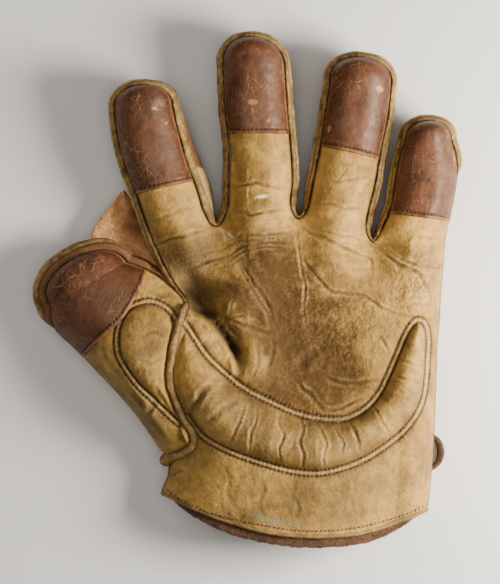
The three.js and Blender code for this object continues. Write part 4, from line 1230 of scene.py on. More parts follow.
class Recipe:
    """A node material in the making. Every pattern reads Object coordinates, in metres, or a mask of the piece."""

    def __init__(self, name: str) -> None:
        """Starts a material with a shader that nothing reaches yet.

        Args:
            name: Name of the material.
        """
        self.material = bpy.data.materials.new(name)
        self.material.use_nodes = True
        self.tree = self.material.node_tree
        self.shader = self.tree.nodes["Principled BSDF"]
        self.place = self.tree.nodes.new("ShaderNodeTexCoord").outputs["Object"]

    def node(self, kind: str, inputs: dict[str | int, object], output: str | int = 0, **settings: object) -> bpy.types.NodeSocket:
        """Adds a node.

        Args:
            kind: Blender's name of the node's type.
            inputs: A number, colour or other node's output for each input.
            output: The output that is handed back.
            settings: The node's own settings.

        Returns:
            The node's output.
        """
        node = self.tree.nodes.new(kind)
        for key, value in settings.items():
            setattr(node, key, value)
        for key, value in inputs.items():
            if isinstance(value, bpy.types.NodeSocket):
                self.tree.links.new(value, node.inputs[key])
            else:
                node.inputs[key].default_value = value
        return node.outputs[output]

    def noise(self, size: float, detail: float = 3.0, distortion: float = 0.0, stretch: Colour = (1, 1, 1)) -> bpy.types.NodeSocket:
        """Adds noise whose features are size mm wide, from 0 to 1."""
        where = self.node("ShaderNodeMapping", {"Vector": self.place, "Scale": stretch})
        return self.node(
            "ShaderNodeTexNoise", {"Vector": where, "Scale": 1000 / size, "Detail": detail, "Distortion": distortion}
        )

    def cells(self, size: float, width: float, warp: float = 0.0) -> bpy.types.NodeSocket:
        """Adds a network of lines: the borders of random cells.

        Args:
            size: Width of a cell in mm.
            width: Width of the lines as a share of a cell.
            warp: How far noise bends the lines, in mm.

        Returns:
            1 on the lines and 0 inside the cells.
        """
        where = self.place
        if warp:
            colour = self.node(
                "ShaderNodeTexNoise", {"Vector": self.place, "Scale": 700 / size, "Detail": 3.0}, output="Color"
            )
            centred = self.node("ShaderNodeVectorMath", {0: colour, 1: (0.5, 0.5, 0.5)}, operation="SUBTRACT")
            moved = self.node("ShaderNodeVectorMath", {0: centred, "Scale": warp * MM}, operation="SCALE")
            where = self.node("ShaderNodeVectorMath", {0: self.place, 1: moved}, operation="ADD")
        edge = self.node(
            "ShaderNodeTexVoronoi", {"Vector": where, "Scale": 1000 / size}, output="Distance", feature="DISTANCE_TO_EDGE"
        )
        return self.range(edge, 0, width, 1, 0)

    def mask(self, name: str) -> bpy.types.NodeSocket:
        """Reads one of the piece's masks."""
        return self.node("ShaderNodeAttribute", {}, output="Fac", attribute_name=name)

    def range(self, value: bpy.types.NodeSocket, low: float, high: float, start: float = 0, end: float = 1) -> bpy.types.NodeSocket:
        """Maps low..high to start..end and holds it there."""
        inputs = {"Value": value, "From Min": low, "From Max": high, "To Min": start, "To Max": end}
        return self.node("ShaderNodeMapRange", inputs, interpolation_type="SMOOTHSTEP")

    def math(self, operation: str, first: object, second: object = 0.0) -> bpy.types.NodeSocket:
        """Adds a sum, product or other operation on two numbers."""
        return self.node("ShaderNodeMath", {0: first, 1: second}, operation=operation)

    def mix(self, share: object, first: object, second: object) -> bpy.types.NodeSocket:
        """Mixes two colours, which may be outputs or plain colours."""
        colours = {key: value if isinstance(value, bpy.types.NodeSocket) else (*value, 1) for key, value in ((6, first), (7, second))}
        return self.node("ShaderNodeMix", {0: share, **colours}, output=2, data_type="RGBA")

    def bump(self, height: bpy.types.NodeSocket, depth: float, normal: bpy.types.NodeSocket | None = None) -> bpy.types.NodeSocket:
        """Adds relief of depth mm to the shading."""
        inputs = {"Height": height, "Distance": depth * MM, "Strength": 1.0}
        if normal is not None:
            inputs["Normal"] = normal
        return self.node("ShaderNodeBump", inputs)

    def finish(self, colour: object, roughness: object, normal: bpy.types.NodeSocket, **sockets: float) -> bpy.types.Material:
        """Joins everything to the shader.

        Args:
            colour: Base colour.
            roughness: Roughness.
            normal: Normal with its relief.
            sockets: Plain numbers for the shader's own sockets, with underscores for spaces.

        Returns:
            The material.
        """
        inputs = {"Base Color": colour, "Roughness": roughness, "Normal": normal}
        for key, value in inputs.items():
            if isinstance(value, bpy.types.NodeSocket):
                self.tree.links.new(value, self.shader.inputs[key])
            else:
                self.shader.inputs[key].default_value = value
        for key, value in sockets.items():
            self.shader.inputs[key.replace("_", " ")].default_value = value
        return self.material


@dataclass(frozen=True)
class TannedLeather:
    """Soft buff leather, darkened by handling, with painted shade and painted sheen: its colours, and the sizes of its
    grain in mm.
    """

    name: str = "tanned_leather"
    pale: Colour = (0.53, 0.305, 0.072)
    deep: Colour = (0.26, 0.143, 0.033)
    olive: Colour = (0.086, 0.054, 0.022)
    grime: Colour = (0.062, 0.029, 0.0075)
    line: Colour = (0.022, 0.010, 0.004)
    rubbed: Colour = (0.74, 0.50, 0.19)
    raw: Colour = (0.80, 0.70, 0.44)
    green: Colour = (0.17, 0.21, 0.13)
    pebble: float = 0.55
    wrinkle: float = 2.3
    relief: float = 0.07

    def material(self) -> bpy.types.Material:
        """Makes the material: cloudy tan; from the masks, grime, worn places, painted sheen, painted shade and dark
        crease lines with painted shadow; and wrinkled, pebbled grain.
        """
        r = Recipe(self.name)
        cloud = r.range(r.noise(17, 5, 0.6), 0.35, 0.68)
        colour = r.mix(cloud, self.pale, self.deep)
        mottle = r.range(r.noise(3.2, 5, 0.4), 0.42, 0.72)
        colour = r.mix(r.math("MULTIPLY", mottle, 0.4), colour, self.olive)
        # Painted shade: the shade mask darkens the leather towards olive.
        colour = r.mix(r.math("MULTIPLY", r.mask("shade"), 0.93), colour, self.olive)
        broken = r.range(r.noise(3.4, 6, 0.8), 0.3, 0.7, 0.82, 1.1)
        dirt = r.range(r.math("MULTIPLY", r.mask("grime"), broken), 0.0, 0.9, 0, 0.97)
        colour = r.mix(dirt, colour, self.grime)
        patches = r.range(r.noise(9, 3, 0.6), 0.44, 0.62)
        network = r.math("MULTIPLY", r.cells(self.wrinkle, 0.05, 1.8), patches)
        colour = r.mix(r.math("MULTIPLY", network, 0.24), colour, self.pale)
        # Worn places and painted sheen lighten the leather towards pale tan.
        rubbed = r.math("MULTIPLY", r.mask("rubbed"), r.range(r.noise(1.3, 4), 0.35, 0.65, 0.25, 1))
        colour = r.mix(r.math("MULTIPLY", rubbed, 0.75), colour, self.rubbed)
        # Dark crease lines, and painted shade and shadow in folds, grooves and hollows, go towards near black.
        colour = r.mix(r.math("MULTIPLY", r.mask("crease"), 0.92), colour, self.line)
        colour = r.mix(r.math("MULTIPLY", r.mask("pale"), 0.85), colour, (0.50, 0.33, 0.15))
        colour = r.mix(r.math("MULTIPLY", r.mask("brown"), 0.9), colour, (0.13, 0.052, 0.026))
        colour = r.mix(r.mask("raw"), colour, self.raw)
        colour = r.mix(r.math("MULTIPLY", r.mask("green"), 0.75), colour, self.green)
        speck = r.range(r.noise(0.9, 2), 0.68, 0.76)
        colour = r.mix(r.math("MULTIPLY", speck, 0.35), colour, self.grime)
        coarse = r.bump(r.math("MULTIPLY", r.cells(self.wrinkle, 0.2, 1.4), -1.0), self.relief)
        fine = r.bump(r.noise(self.pebble, 2), 0.035, coarse)
        normal = r.bump(r.noise(4.0, 5, 0.6), 0.2, fine)
        dull = r.math("MAXIMUM", r.math("MAXIMUM", dirt, r.mask("shade")), r.mask("crease"))
        matt = r.math("MULTIPLY", dull, 0.25)
        roughness = r.math("ADD", r.range(r.noise(4.0, 4), 0.3, 0.7, 0.46, 0.66), matt)
        return r.finish(colour, roughness, normal, Specular_IOR_Level=0.32, Specular_Tint=(1.0, 0.82, 0.55, 1.0))


@dataclass(frozen=True)
class GlazedLeather:
    """Brown glazed leather whose glaze has crazed into pale lines and worn off in spots."""

    name: str = "glazed_leather"
    dark: Colour = (0.040, 0.014, 0.006)
    warm: Colour = (0.120, 0.042, 0.017)
    haze: Colour = (0.135, 0.074, 0.046)
    crack: Colour = (0.36, 0.19, 0.085)
    worn: Colour = (0.40, 0.19, 0.062)
    edge: Colour = (0.27, 0.11, 0.035)
    cell: float = 3.9
    coat: float = 0.06

    def material(self) -> bpy.types.Material:
        """Makes the material: streaked brown, hazy glaze with painted sheen, painted shade at the seams, broken craze
        lines, worn spots and worn edges.
        """
        r = Recipe(self.name)
        cloud = r.range(r.noise(11, 4, 0.5), 0.3, 0.6, 0.3, 1)
        colour = r.mix(cloud, self.dark, self.warm)
        streak = r.range(r.noise(1.6, 4, 0.3, (1.6, 0.35, 1)), 0.4, 0.72)
        colour = r.mix(r.math("MULTIPLY", streak, 0.4), colour, self.dark)
        # Hazy patches are a dull glaze and a painted sheen where the light glances off the cap.
        haze = r.math("MULTIPLY", r.mask("haze"), r.range(r.noise(6, 4, 0.7), 0.3, 0.62, 0.35, 1))
        colour = r.mix(r.math("MULTIPLY", haze, 0.8), colour, self.haze)
        # Painted shade towards the seams.
        colour = r.mix(r.math("MULTIPLY", r.mask("shade"), 0.75), colour, self.dark)
        lines = r.cells(self.cell, 0.032, 1.3)
        small = r.cells(self.cell * 0.5, 0.045, 1.0)
        some = r.range(r.noise(8, 4, 0.8), 0.36, 0.52)
        few = r.range(r.noise(5, 3, 0.5), 0.55, 0.66)
        craze = r.math("MAXIMUM", r.math("MULTIPLY", lines, some), r.math("MULTIPLY", small, few))
        craze = r.math("MULTIPLY", craze, r.mask("craze"))
        colour = r.mix(r.math("MULTIPLY", craze, 0.9), colour, self.crack)
        spots = r.range(r.math("ADD", r.mask("worn"), r.math("MULTIPLY", r.noise(1.7, 5, 0.6), 0.9)), 0.98, 1.12, 0, 0.85)
        colour = r.mix(spots, colour, self.worn)
        hem = r.range(r.math("ADD", r.mask("hem"), r.math("MULTIPLY", r.noise(2.0, 4), 0.5)), 0.75, 1.1)
        colour = r.mix(r.math("MULTIPLY", hem, 0.8), colour, self.edge)
        edge = r.range(r.math("ADD", r.mask("edge"), r.math("MULTIPLY", r.noise(1.2, 4), 0.5)), 0.72, 0.95)
        colour = r.mix(r.math("MULTIPLY", edge, 0.85), colour, self.edge)
        # Painted shade in the stitch groove and at the seams, near black.
        colour = r.mix(r.math("MULTIPLY", r.mask("crease"), 0.9), colour, (0.02, 0.009, 0.005))
        coarse = r.bump(r.math("MULTIPLY", craze, -1.0), 0.14)
        fine = r.bump(r.noise(0.7, 3), 0.05, coarse)
        normal = r.bump(r.noise(4.5, 3, 0.6), 0.16, fine)
        roughness = r.range(r.math("ADD", r.noise(3.0, 4), r.math("MULTIPLY", haze, 0.4)), 0.35, 0.9, 0.44, 0.68)
        return r.finish(colour, roughness, normal, Specular_IOR_Level=0.3, Specular_Tint=(1.0, 0.85, 0.75, 1.0),
                        Coat_Weight=self.coat, Coat_Roughness=0.4)


@dataclass(frozen=True)
class Suede:
    """Rough split leather or felt: two colours, the direction of its fibres and how rough it stands."""

    name: str
    light: Colour
    dark: Colour
    stretch: Colour = (1.0, 1.0, 1.0)
    fibre: float = 0.9
    relief: float = 0.3
    sheen: float = 0.2

    def material(self) -> bpy.types.Material:
        """Makes the material: two colours mixed by fibrous noise, over which patches of grime lie, and painted shade
        and shadow from a mask.
        """
        r = Recipe(self.name)
        fibres = r.noise(self.fibre, 6, 0.9, self.stretch)
        patches = r.range(r.noise(7, 4, 0.5), 0.35, 0.68)
        colour = r.mix(r.range(fibres, 0.32, 0.68), self.dark, self.light)
        colour = r.mix(r.math("MULTIPLY", patches, 0.45), colour, self.dark)
        # Painted shade and shadow darken it towards a third of its dark colour.
        colour = r.mix(r.mask("crease"), colour, tuple(0.3 * part for part in self.dark))
        coarse = r.bump(fibres, self.relief)
        normal = r.bump(r.noise(0.35, 2), 0.1, coarse)
        return r.finish(colour, 0.9, normal, Specular_IOR_Level=0.25, Sheen_Weight=self.sheen)


@dataclass(frozen=True)
class Thread:
    """Waxed linen thread, darkened by dirt."""

    name: str = "waxed_thread"
    dark: Colour = (0.045, 0.022, 0.011)
    light: Colour = (0.15, 0.085, 0.038)

    def material(self) -> bpy.types.Material:
        """Makes the material: brown strands with paler worn places."""
        r = Recipe(self.name)
        colour = r.mix(r.range(r.noise(2.6, 3), 0.42, 0.68), self.dark, self.light)
        normal = r.bump(r.noise(0.3, 2, 0, (1, 2, 1)), 0.12)
        return r.finish(colour, 0.62, normal, Specular_IOR_Level=0.4)


@dataclass(frozen=True)
class Paper:
    """The pale matt floor."""

    name: str = "studio_floor"
    colour: Colour = (0.78, 0.77, 0.745)

    def material(self) -> bpy.types.Material:
        """Makes the material, with a trace of unevenness."""
        r = Recipe(self.name)
        colour = r.mix(r.math("MULTIPLY", r.noise(60, 3), 0.06), self.colour, tuple(0.9 * part for part in self.colour))
        return r.finish(colour, 0.85, r.bump(r.noise(1.5, 2), 0.02), Specular_IOR_Level=0.2)


@dataclass
class Finishes:
    """Every material of the glove, made once."""

    tan: bpy.types.Material = field(default_factory=lambda: TannedLeather().material())
    strip: bpy.types.Material = field(default_factory=lambda: TannedLeather(
        "strip_leather", pale=(0.50, 0.30, 0.10), deep=(0.28, 0.160, 0.050), wrinkle=1.3, relief=0.1).material())
    welt: bpy.types.Material = field(default_factory=lambda: TannedLeather(
        "welt_leather", pale=(0.21, 0.12, 0.042), deep=(0.115, 0.064, 0.022), rubbed=(0.46, 0.29, 0.12), wrinkle=1.2).material())
    cap: bpy.types.Material = field(default_factory=lambda: GlazedLeather().material())
    web: bpy.types.Material = field(default_factory=lambda: Suede(
        "web_leather", (0.98, 0.53, 0.22), (0.50, 0.21, 0.075), (1.5, 0.7, 1), 1.3, 0.6).material())
    felt: bpy.types.Material = field(default_factory=lambda: Suede(
        "felt", (0.15, 0.062, 0.027), (0.045, 0.020, 0.010), (1, 1, 1), 1.0, 0.8, 0.2).material())
    strap: bpy.types.Material = field(default_factory=lambda: TannedLeather(
        "strap_leather", pale=(0.040, 0.020, 0.009), deep=(0.020, 0.010, 0.005), rubbed=(0.36, 0.20, 0.09), wrinkle=1.5).material())
    thread: bpy.types.Material = field(default_factory=lambda: Thread().material())


# Pieces


@dataclass
class Hand:
    """The front and back leathers of palm and fingers."""

    spacing: float = 0.52
    step: int = 4
    lane_columns: tuple[int, int, int, int] = (48, 56, 56, 68)
    under_cap: float = 0.35
    wall: float = 1.8
    notch: float = 1.2
    heights: HeightMap = field(init=False)

    def front(self, finishes: Finishes) -> bpy.types.Object:
        """Builds the palm leather with its crescent and the fingers' fronts, which end under the caps.

        Args:
            finishes: The materials.

        Returns:
            The palm leather.
        """
        base, grids, loop, edge = self._lay(Face.FRONT)
        base[:, 0] += self._notch(base, edge)
        relief = Relief(base[:, :2])
        for feature in (HeelPad(), *PALM_SWELLS, *PALM_CREASES, StitchedLine(HEEL_SEAM), *PALM_STAINS):
            feature.press(relief)
        self._wear(relief, edge)
        free = smooth_step(edge, 0.0, 3.5)
        outer = base.copy()
        outer[:, 2] += relief.height * free - 0.5 * np.exp(-((edge / 0.9) ** 2))
        outer[:, 2] = np.maximum(outer[:, 2], Face.FRONT.side_height)
        self.heights = HeightMap.of(outer)
        normals = self._base_normals(base, grids)
        inner = base - normals * self.wall
        inner[:, 2] = np.minimum(inner[:, 2], outer[:, 2] - 0.8)
        leather = Leather(outer, inner, grids, loop, relief.masks, self.step)
        piece = leather.build("palm_leather", finishes.tan, finishes.felt)
        enter(piece, "palm_leather", "palm_front", "heel_pad")
        return piece

    def back(self, finishes: Finishes) -> bpy.types.Object:
        """Builds the plain back leather.

        Args:
            finishes: The materials.

        Returns:
            The back leather.
        """
        base, grids, loop, edge = self._lay(Face.BACK, spacing=1.3, columns=(20, 24, 24, 28))
        base[:, 0] += self._notch(base, edge)
        relief = Relief(base[:, :2])
        relief.mark("shade", 0.25 + 0.25 * Noise(5, 20.0).at(relief.plan))
        # Painted shade along the free edge, where it turns into the seam.
        relief.mark("crease", 0.5 * np.exp(-((edge / 0.8) ** 2)))
        normals = self._base_normals(base, grids)
        inner = base + normals * self.wall
        limits = Face.BACK.limits
        base[:, 2] = np.clip(base[:, 2], *limits)
        leather = Leather(base, inner, grids, loop, relief.masks, self.step, flip=True)
        return enter(leather.build("back_leather", finishes.tan, finishes.felt), "palm_leather", "back_panel")

    def _lay(self, face: Face, spacing: float | None = None, columns: Sequence[int] | None = None) -> tuple[Array, list[Array], Array, Array]:
        """Lays out the four lanes as grids that share their borders up to the finger roots.

        Args:
            face: Front or back.
            spacing: Distance between rows in mm.
            columns: Columns of each lane.

        Returns:
            Points, grids of point numbers, the loop round them, and each point's distance from the free edge.
        """
        spacing = spacing or self.spacing
        columns = columns or self.lane_columns
        sheets = [finger_sheet(finger, face) for finger in FINGERS]
        palm_places = sheets[1].places(0, ROOTS, spacing, self.step)
        bounds = np.concatenate([[0], np.cumsum(columns)])
        palm = np.zeros((len(palm_places), bounds[-1] + 1, 3))
        shares = [np.linspace(0, 1, count + 1) for count in columns]
        for lane, sheet in enumerate(sheets):
            palm[:, bounds[lane] : bounds[lane + 1] + 1] = sheet.at(palm_places[:, None], shares[lane][None, :])
        numbers = np.arange(palm.shape[0] * palm.shape[1]).reshape(palm.shape[:2])
        width = np.linalg.norm(palm[:, -1] - palm[:, 0], axis=-1)[:, None]
        share = np.linspace(0, 1, palm.shape[1])[None, :]
        edge = [(np.minimum(share, 1 - share) * width).ravel()]
        points, grids, count = [palm.reshape(-1, 3)], [numbers], numbers.size
        for lane, (finger, sheet) in enumerate(zip(FINGERS, sheets)):
            end = finger.last + 1 - 0.05 if face is Face.BACK else ROOTS + max(finger.cap_from) + self.under_cap
            places = sheet.places(ROOTS, end, spacing, self.step)[1:]
            lane_points = sheet.at(places[:, None], shares[lane][None, :])
            fresh = count + np.arange(lane_points.shape[0] * lane_points.shape[1]).reshape(lane_points.shape[:2])
            grids.append(np.vstack([numbers[-1, bounds[lane] : bounds[lane + 1] + 1], fresh]))
            points.append(lane_points.reshape(-1, 3))
            across = np.minimum(shares[lane], 1 - shares[lane])[None, :]
            across = across * np.linalg.norm(lane_points[:, -1] - lane_points[:, 0], axis=-1)[:, None]
            edge.append(across.ravel())
            count += fresh.size
        loop = [numbers[0, :-1], numbers[:-1, -1]]
        for grid in grids[:0:-1]:
            loop += [grid[:-1, -1], grid[-1, :0:-1], grid[:0:-1, 0]]
        loop.append(numbers[:0:-1, 0])
        points = np.vstack(points)
        edge = np.concatenate(edge)
        forks = points[numbers[-1, bounds[1:4]]]
        for fork in forks:
            edge = np.minimum(edge, np.linalg.norm(points[:, :2] - fork[:2], axis=1) + 0.2)
        return points, grids, np.concatenate(loop), edge

    def _notch(self, points: Array, edge: Array) -> Array:
        """Works out how far the leather draws in between the welt's tail and the cuff's corner.

        The depth is notch * exp(-((y - y0) / 4.6)^2) at the edge and fades over 6 mm inwards.

        Args:
            points: Points of the leather.
            edge: Their distances from the free edge.

        Returns:
            What is added to x at each point.
        """
        near = np.exp(-((edge / 6.0) ** 2)) * (points[:, 0] < 0)
        return self.notch * near * np.exp(-(((points[:, 1] + 87.0) / 4.6) ** 2))

    @staticmethod
    def _base_normals(points: Array, grids: list[Array]) -> Array:
        """Finds upward normals for all points from the grids that they lie in."""
        normals = np.zeros_like(points)
        for grid in grids:
            normals[grid.ravel()] = grid_normals(points[grid]).reshape(-1, 3)
        return normals

    @staticmethod
    def _wear(relief: Relief, edge: Array) -> None:
        """Adds undulation, fine wrinkles, puckers and worn edges at the seams, which handling leaves everywhere, with
        painted sheen on the fine wrinkles and painted shade where the leather turns into the seams.

        Args:
            relief: The relief that it is added to.
            edge: Each place's distance from the free edge.
        """
        plan = relief.plan
        relief.height += 0.34 * Noise(3, 15.0, 3).at(plan) + 0.16 * Noise(4, 4.0, 3).at(plan)
        warped = plan + 1.2 * np.column_stack([Noise(8, 6.0).at(plan), Noise(9, 6.0).at(plan)])
        patch = Swell((77.0, 2.0), (13.0, 17.0), 1).amount(plan) + Swell((40.0, -18.0), (26.0, 20.0), 1).amount(plan)
        net = np.maximum(Noise(15, 3.4, 2).lines(warped, 0.12), Noise(16, 2.6, 2).lines(warped, 0.12))
        relief.height -= 0.42 * net * np.clip(patch, 0.25, 1)
        relief.mark("crease", 0.5 * net * np.clip(patch, 0.3, 1))
        # Painted sheen: pale lines where the light glances off fine wrinkles in the two patches, less on grime.
        shine = np.maximum(Noise(17, 3.0, 2).lines(warped + 3.1, 0.1), Noise(18, 2.2, 2).lines(warped, 0.1))
        clean = 1 - 0.8 * relief.masks["grime"]
        relief.mark("rubbed", 0.6 * shine * np.clip(patch, 0.15, 1) * clean)
        seam = np.exp(-((edge / 2.4) ** 2))
        relief.height += 0.16 * seam * Noise(19, 1.5, 2).at(plan)
        relief.mark("rubbed", 0.45 * np.exp(-(((edge - 1.1) / 0.7) ** 2)) * (0.6 + 0.6 * Noise(20, 4.0).at(plan)))
        # Painted shade where the leather turns into the seams.
        relief.mark("crease", 0.8 * np.exp(-((edge / 0.45) ** 2)))
        relief.mark("shade", 0.25 * np.exp(-((edge / 3.0) ** 2)))


@dataclass
class Thumb:
    """The two leathers of the thumb."""

    spacing: float = 0.52
    columns: int = 120
    wall: float = 1.8
    tip_end: float = 0.97
    heights: HeightMap = field(init=False)

    def front(self, finishes: Finishes) -> bpy.types.Object:
        """Builds the thumb's front leather with its stitched leaf.

        Args:
            finishes: The materials.

        Returns:
            The thumb leather.
        """
        sheet = thumb_sheet(Face.FRONT)
        places = sheet.places(0, LAST_THUMB_ROW + self.tip_end, self.spacing)
        share = np.linspace(0, 1, self.columns + 1)
        base = sheet.at(places[:, None], share[None, :])
        width = np.linalg.norm(base[:, -1] - base[:, 0], axis=-1)[:, None]
        edge = (np.minimum(share, 1 - share)[None, :] * width).ravel()
        flat = base.reshape(-1, 3)
        relief = Relief(flat[:, :2])
        for feature in (ThumbPad(), *THUMB_CREASES, StitchedLine(THUMB_LEAF), *THUMB_STAINS):
            feature.press(relief)
        Hand._wear(relief, edge)
        outer = flat.copy()
        outer[:, 2] += relief.height * smooth_step(edge, 0, 3.5) - 0.5 * np.exp(-((edge / 0.9) ** 2))
        outer[:, 2] = np.maximum(outer[:, 2], SIDE_MIDDLE + HALF_GAP)
        self.heights = HeightMap.of(outer)
        inner = base - grid_normals(base) * self.wall
        inner = inner.reshape(-1, 3)
        inner[:, 2] = np.minimum(inner[:, 2], outer[:, 2] - 0.6)
        leather = Leather.of_grid(outer.reshape(base.shape), inner.reshape(base.shape))
        leather.masks = relief.masks
        piece = leather.build("thumb_leather", finishes.tan, finishes.felt)
        enter(piece, "palm_leather", "thumb_front", "thumb_pad")
        return piece

    def back(self, finishes: Finishes) -> bpy.types.Object:
        """Builds the thumb's plain back leather.

        Args:
            finishes: The materials.

        Returns:
            The back leather.
        """
        sheet = thumb_sheet(Face.BACK)
        places = sheet.places(0, LAST_THUMB_ROW + self.tip_end, 1.2)
        base = sheet.at(places[:, None], np.linspace(0, 1, 41)[None, :])
        shade = 0.3 + 0.3 * Noise(6, 18.0).at(base[..., :2])
        inner = base + grid_normals(base) * self.wall
        zero = np.zeros(base.shape[:2])
        masks = {"shade": shade, "grime": zero, "crease": zero, "rubbed": zero, "raw": zero}
        leather = Leather.of_grid(base, inner, flip=True, **masks)
        return enter(leather.build("thumb_back_leather", finishes.tan, finishes.felt), "palm_leather", "thumb_back")


@dataclass(frozen=True)
class SeamLine:
    """The front and back edges that a side strip joins, place by place, and how far it bulges out there."""

    front: Array
    back: Array
    bulge: Array

    @classmethod
    def of(cls, sheets: tuple[Sheet, Sheet], across: float, start: float, bulge: tuple[float, float]) -> "SeamLine":
        """Follows one edge of a front sheet and its back sheet from a place to the tip.

        Args:
            sheets: Front and back sheet.
            across: 0 for the left edge and 1 for the right one.
            start: First place.
            bulge: How far the strip stands out at the start and at the tip.

        Returns:
            The line, from start to tip.
        """
        front, back = sheets
        places = front.places(start, front.last + 1, 0.55, across=across)
        return cls(front.at(places, across), back.at(places, across), np.linspace(*bulge, len(places)))

    def backwards(self) -> "SeamLine":
        """Gives the line from its other end."""
        return SeamLine(self.front[::-1], self.back[::-1], self.bulge[::-1])

    def then(self, other: "SeamLine") -> "SeamLine":
        """Gives this line and the other one after it, which starts where this one ends."""
        joined = (np.concatenate([mine, theirs[1:]]) for mine, theirs in zip(self._parts(), other._parts()))
        return SeamLine(*joined)

    def _parts(self) -> tuple[Array, Array, Array]:
        """Gives the three arrays."""
        return self.front, self.back, self.bulge

    def eased(self, fork: Array, narrow: float, reach: float = 12.0) -> "SeamLine":
        """Narrows the strip to narrow mm at a place, such as the fork between two fingers, over reach mm."""
        away = np.linalg.norm(self.front - fork, axis=1)
        share = smooth_step(away, 0.15 * reach, reach)
        return SeamLine(self.front, self.back, narrow + (self.bulge - narrow) * share)


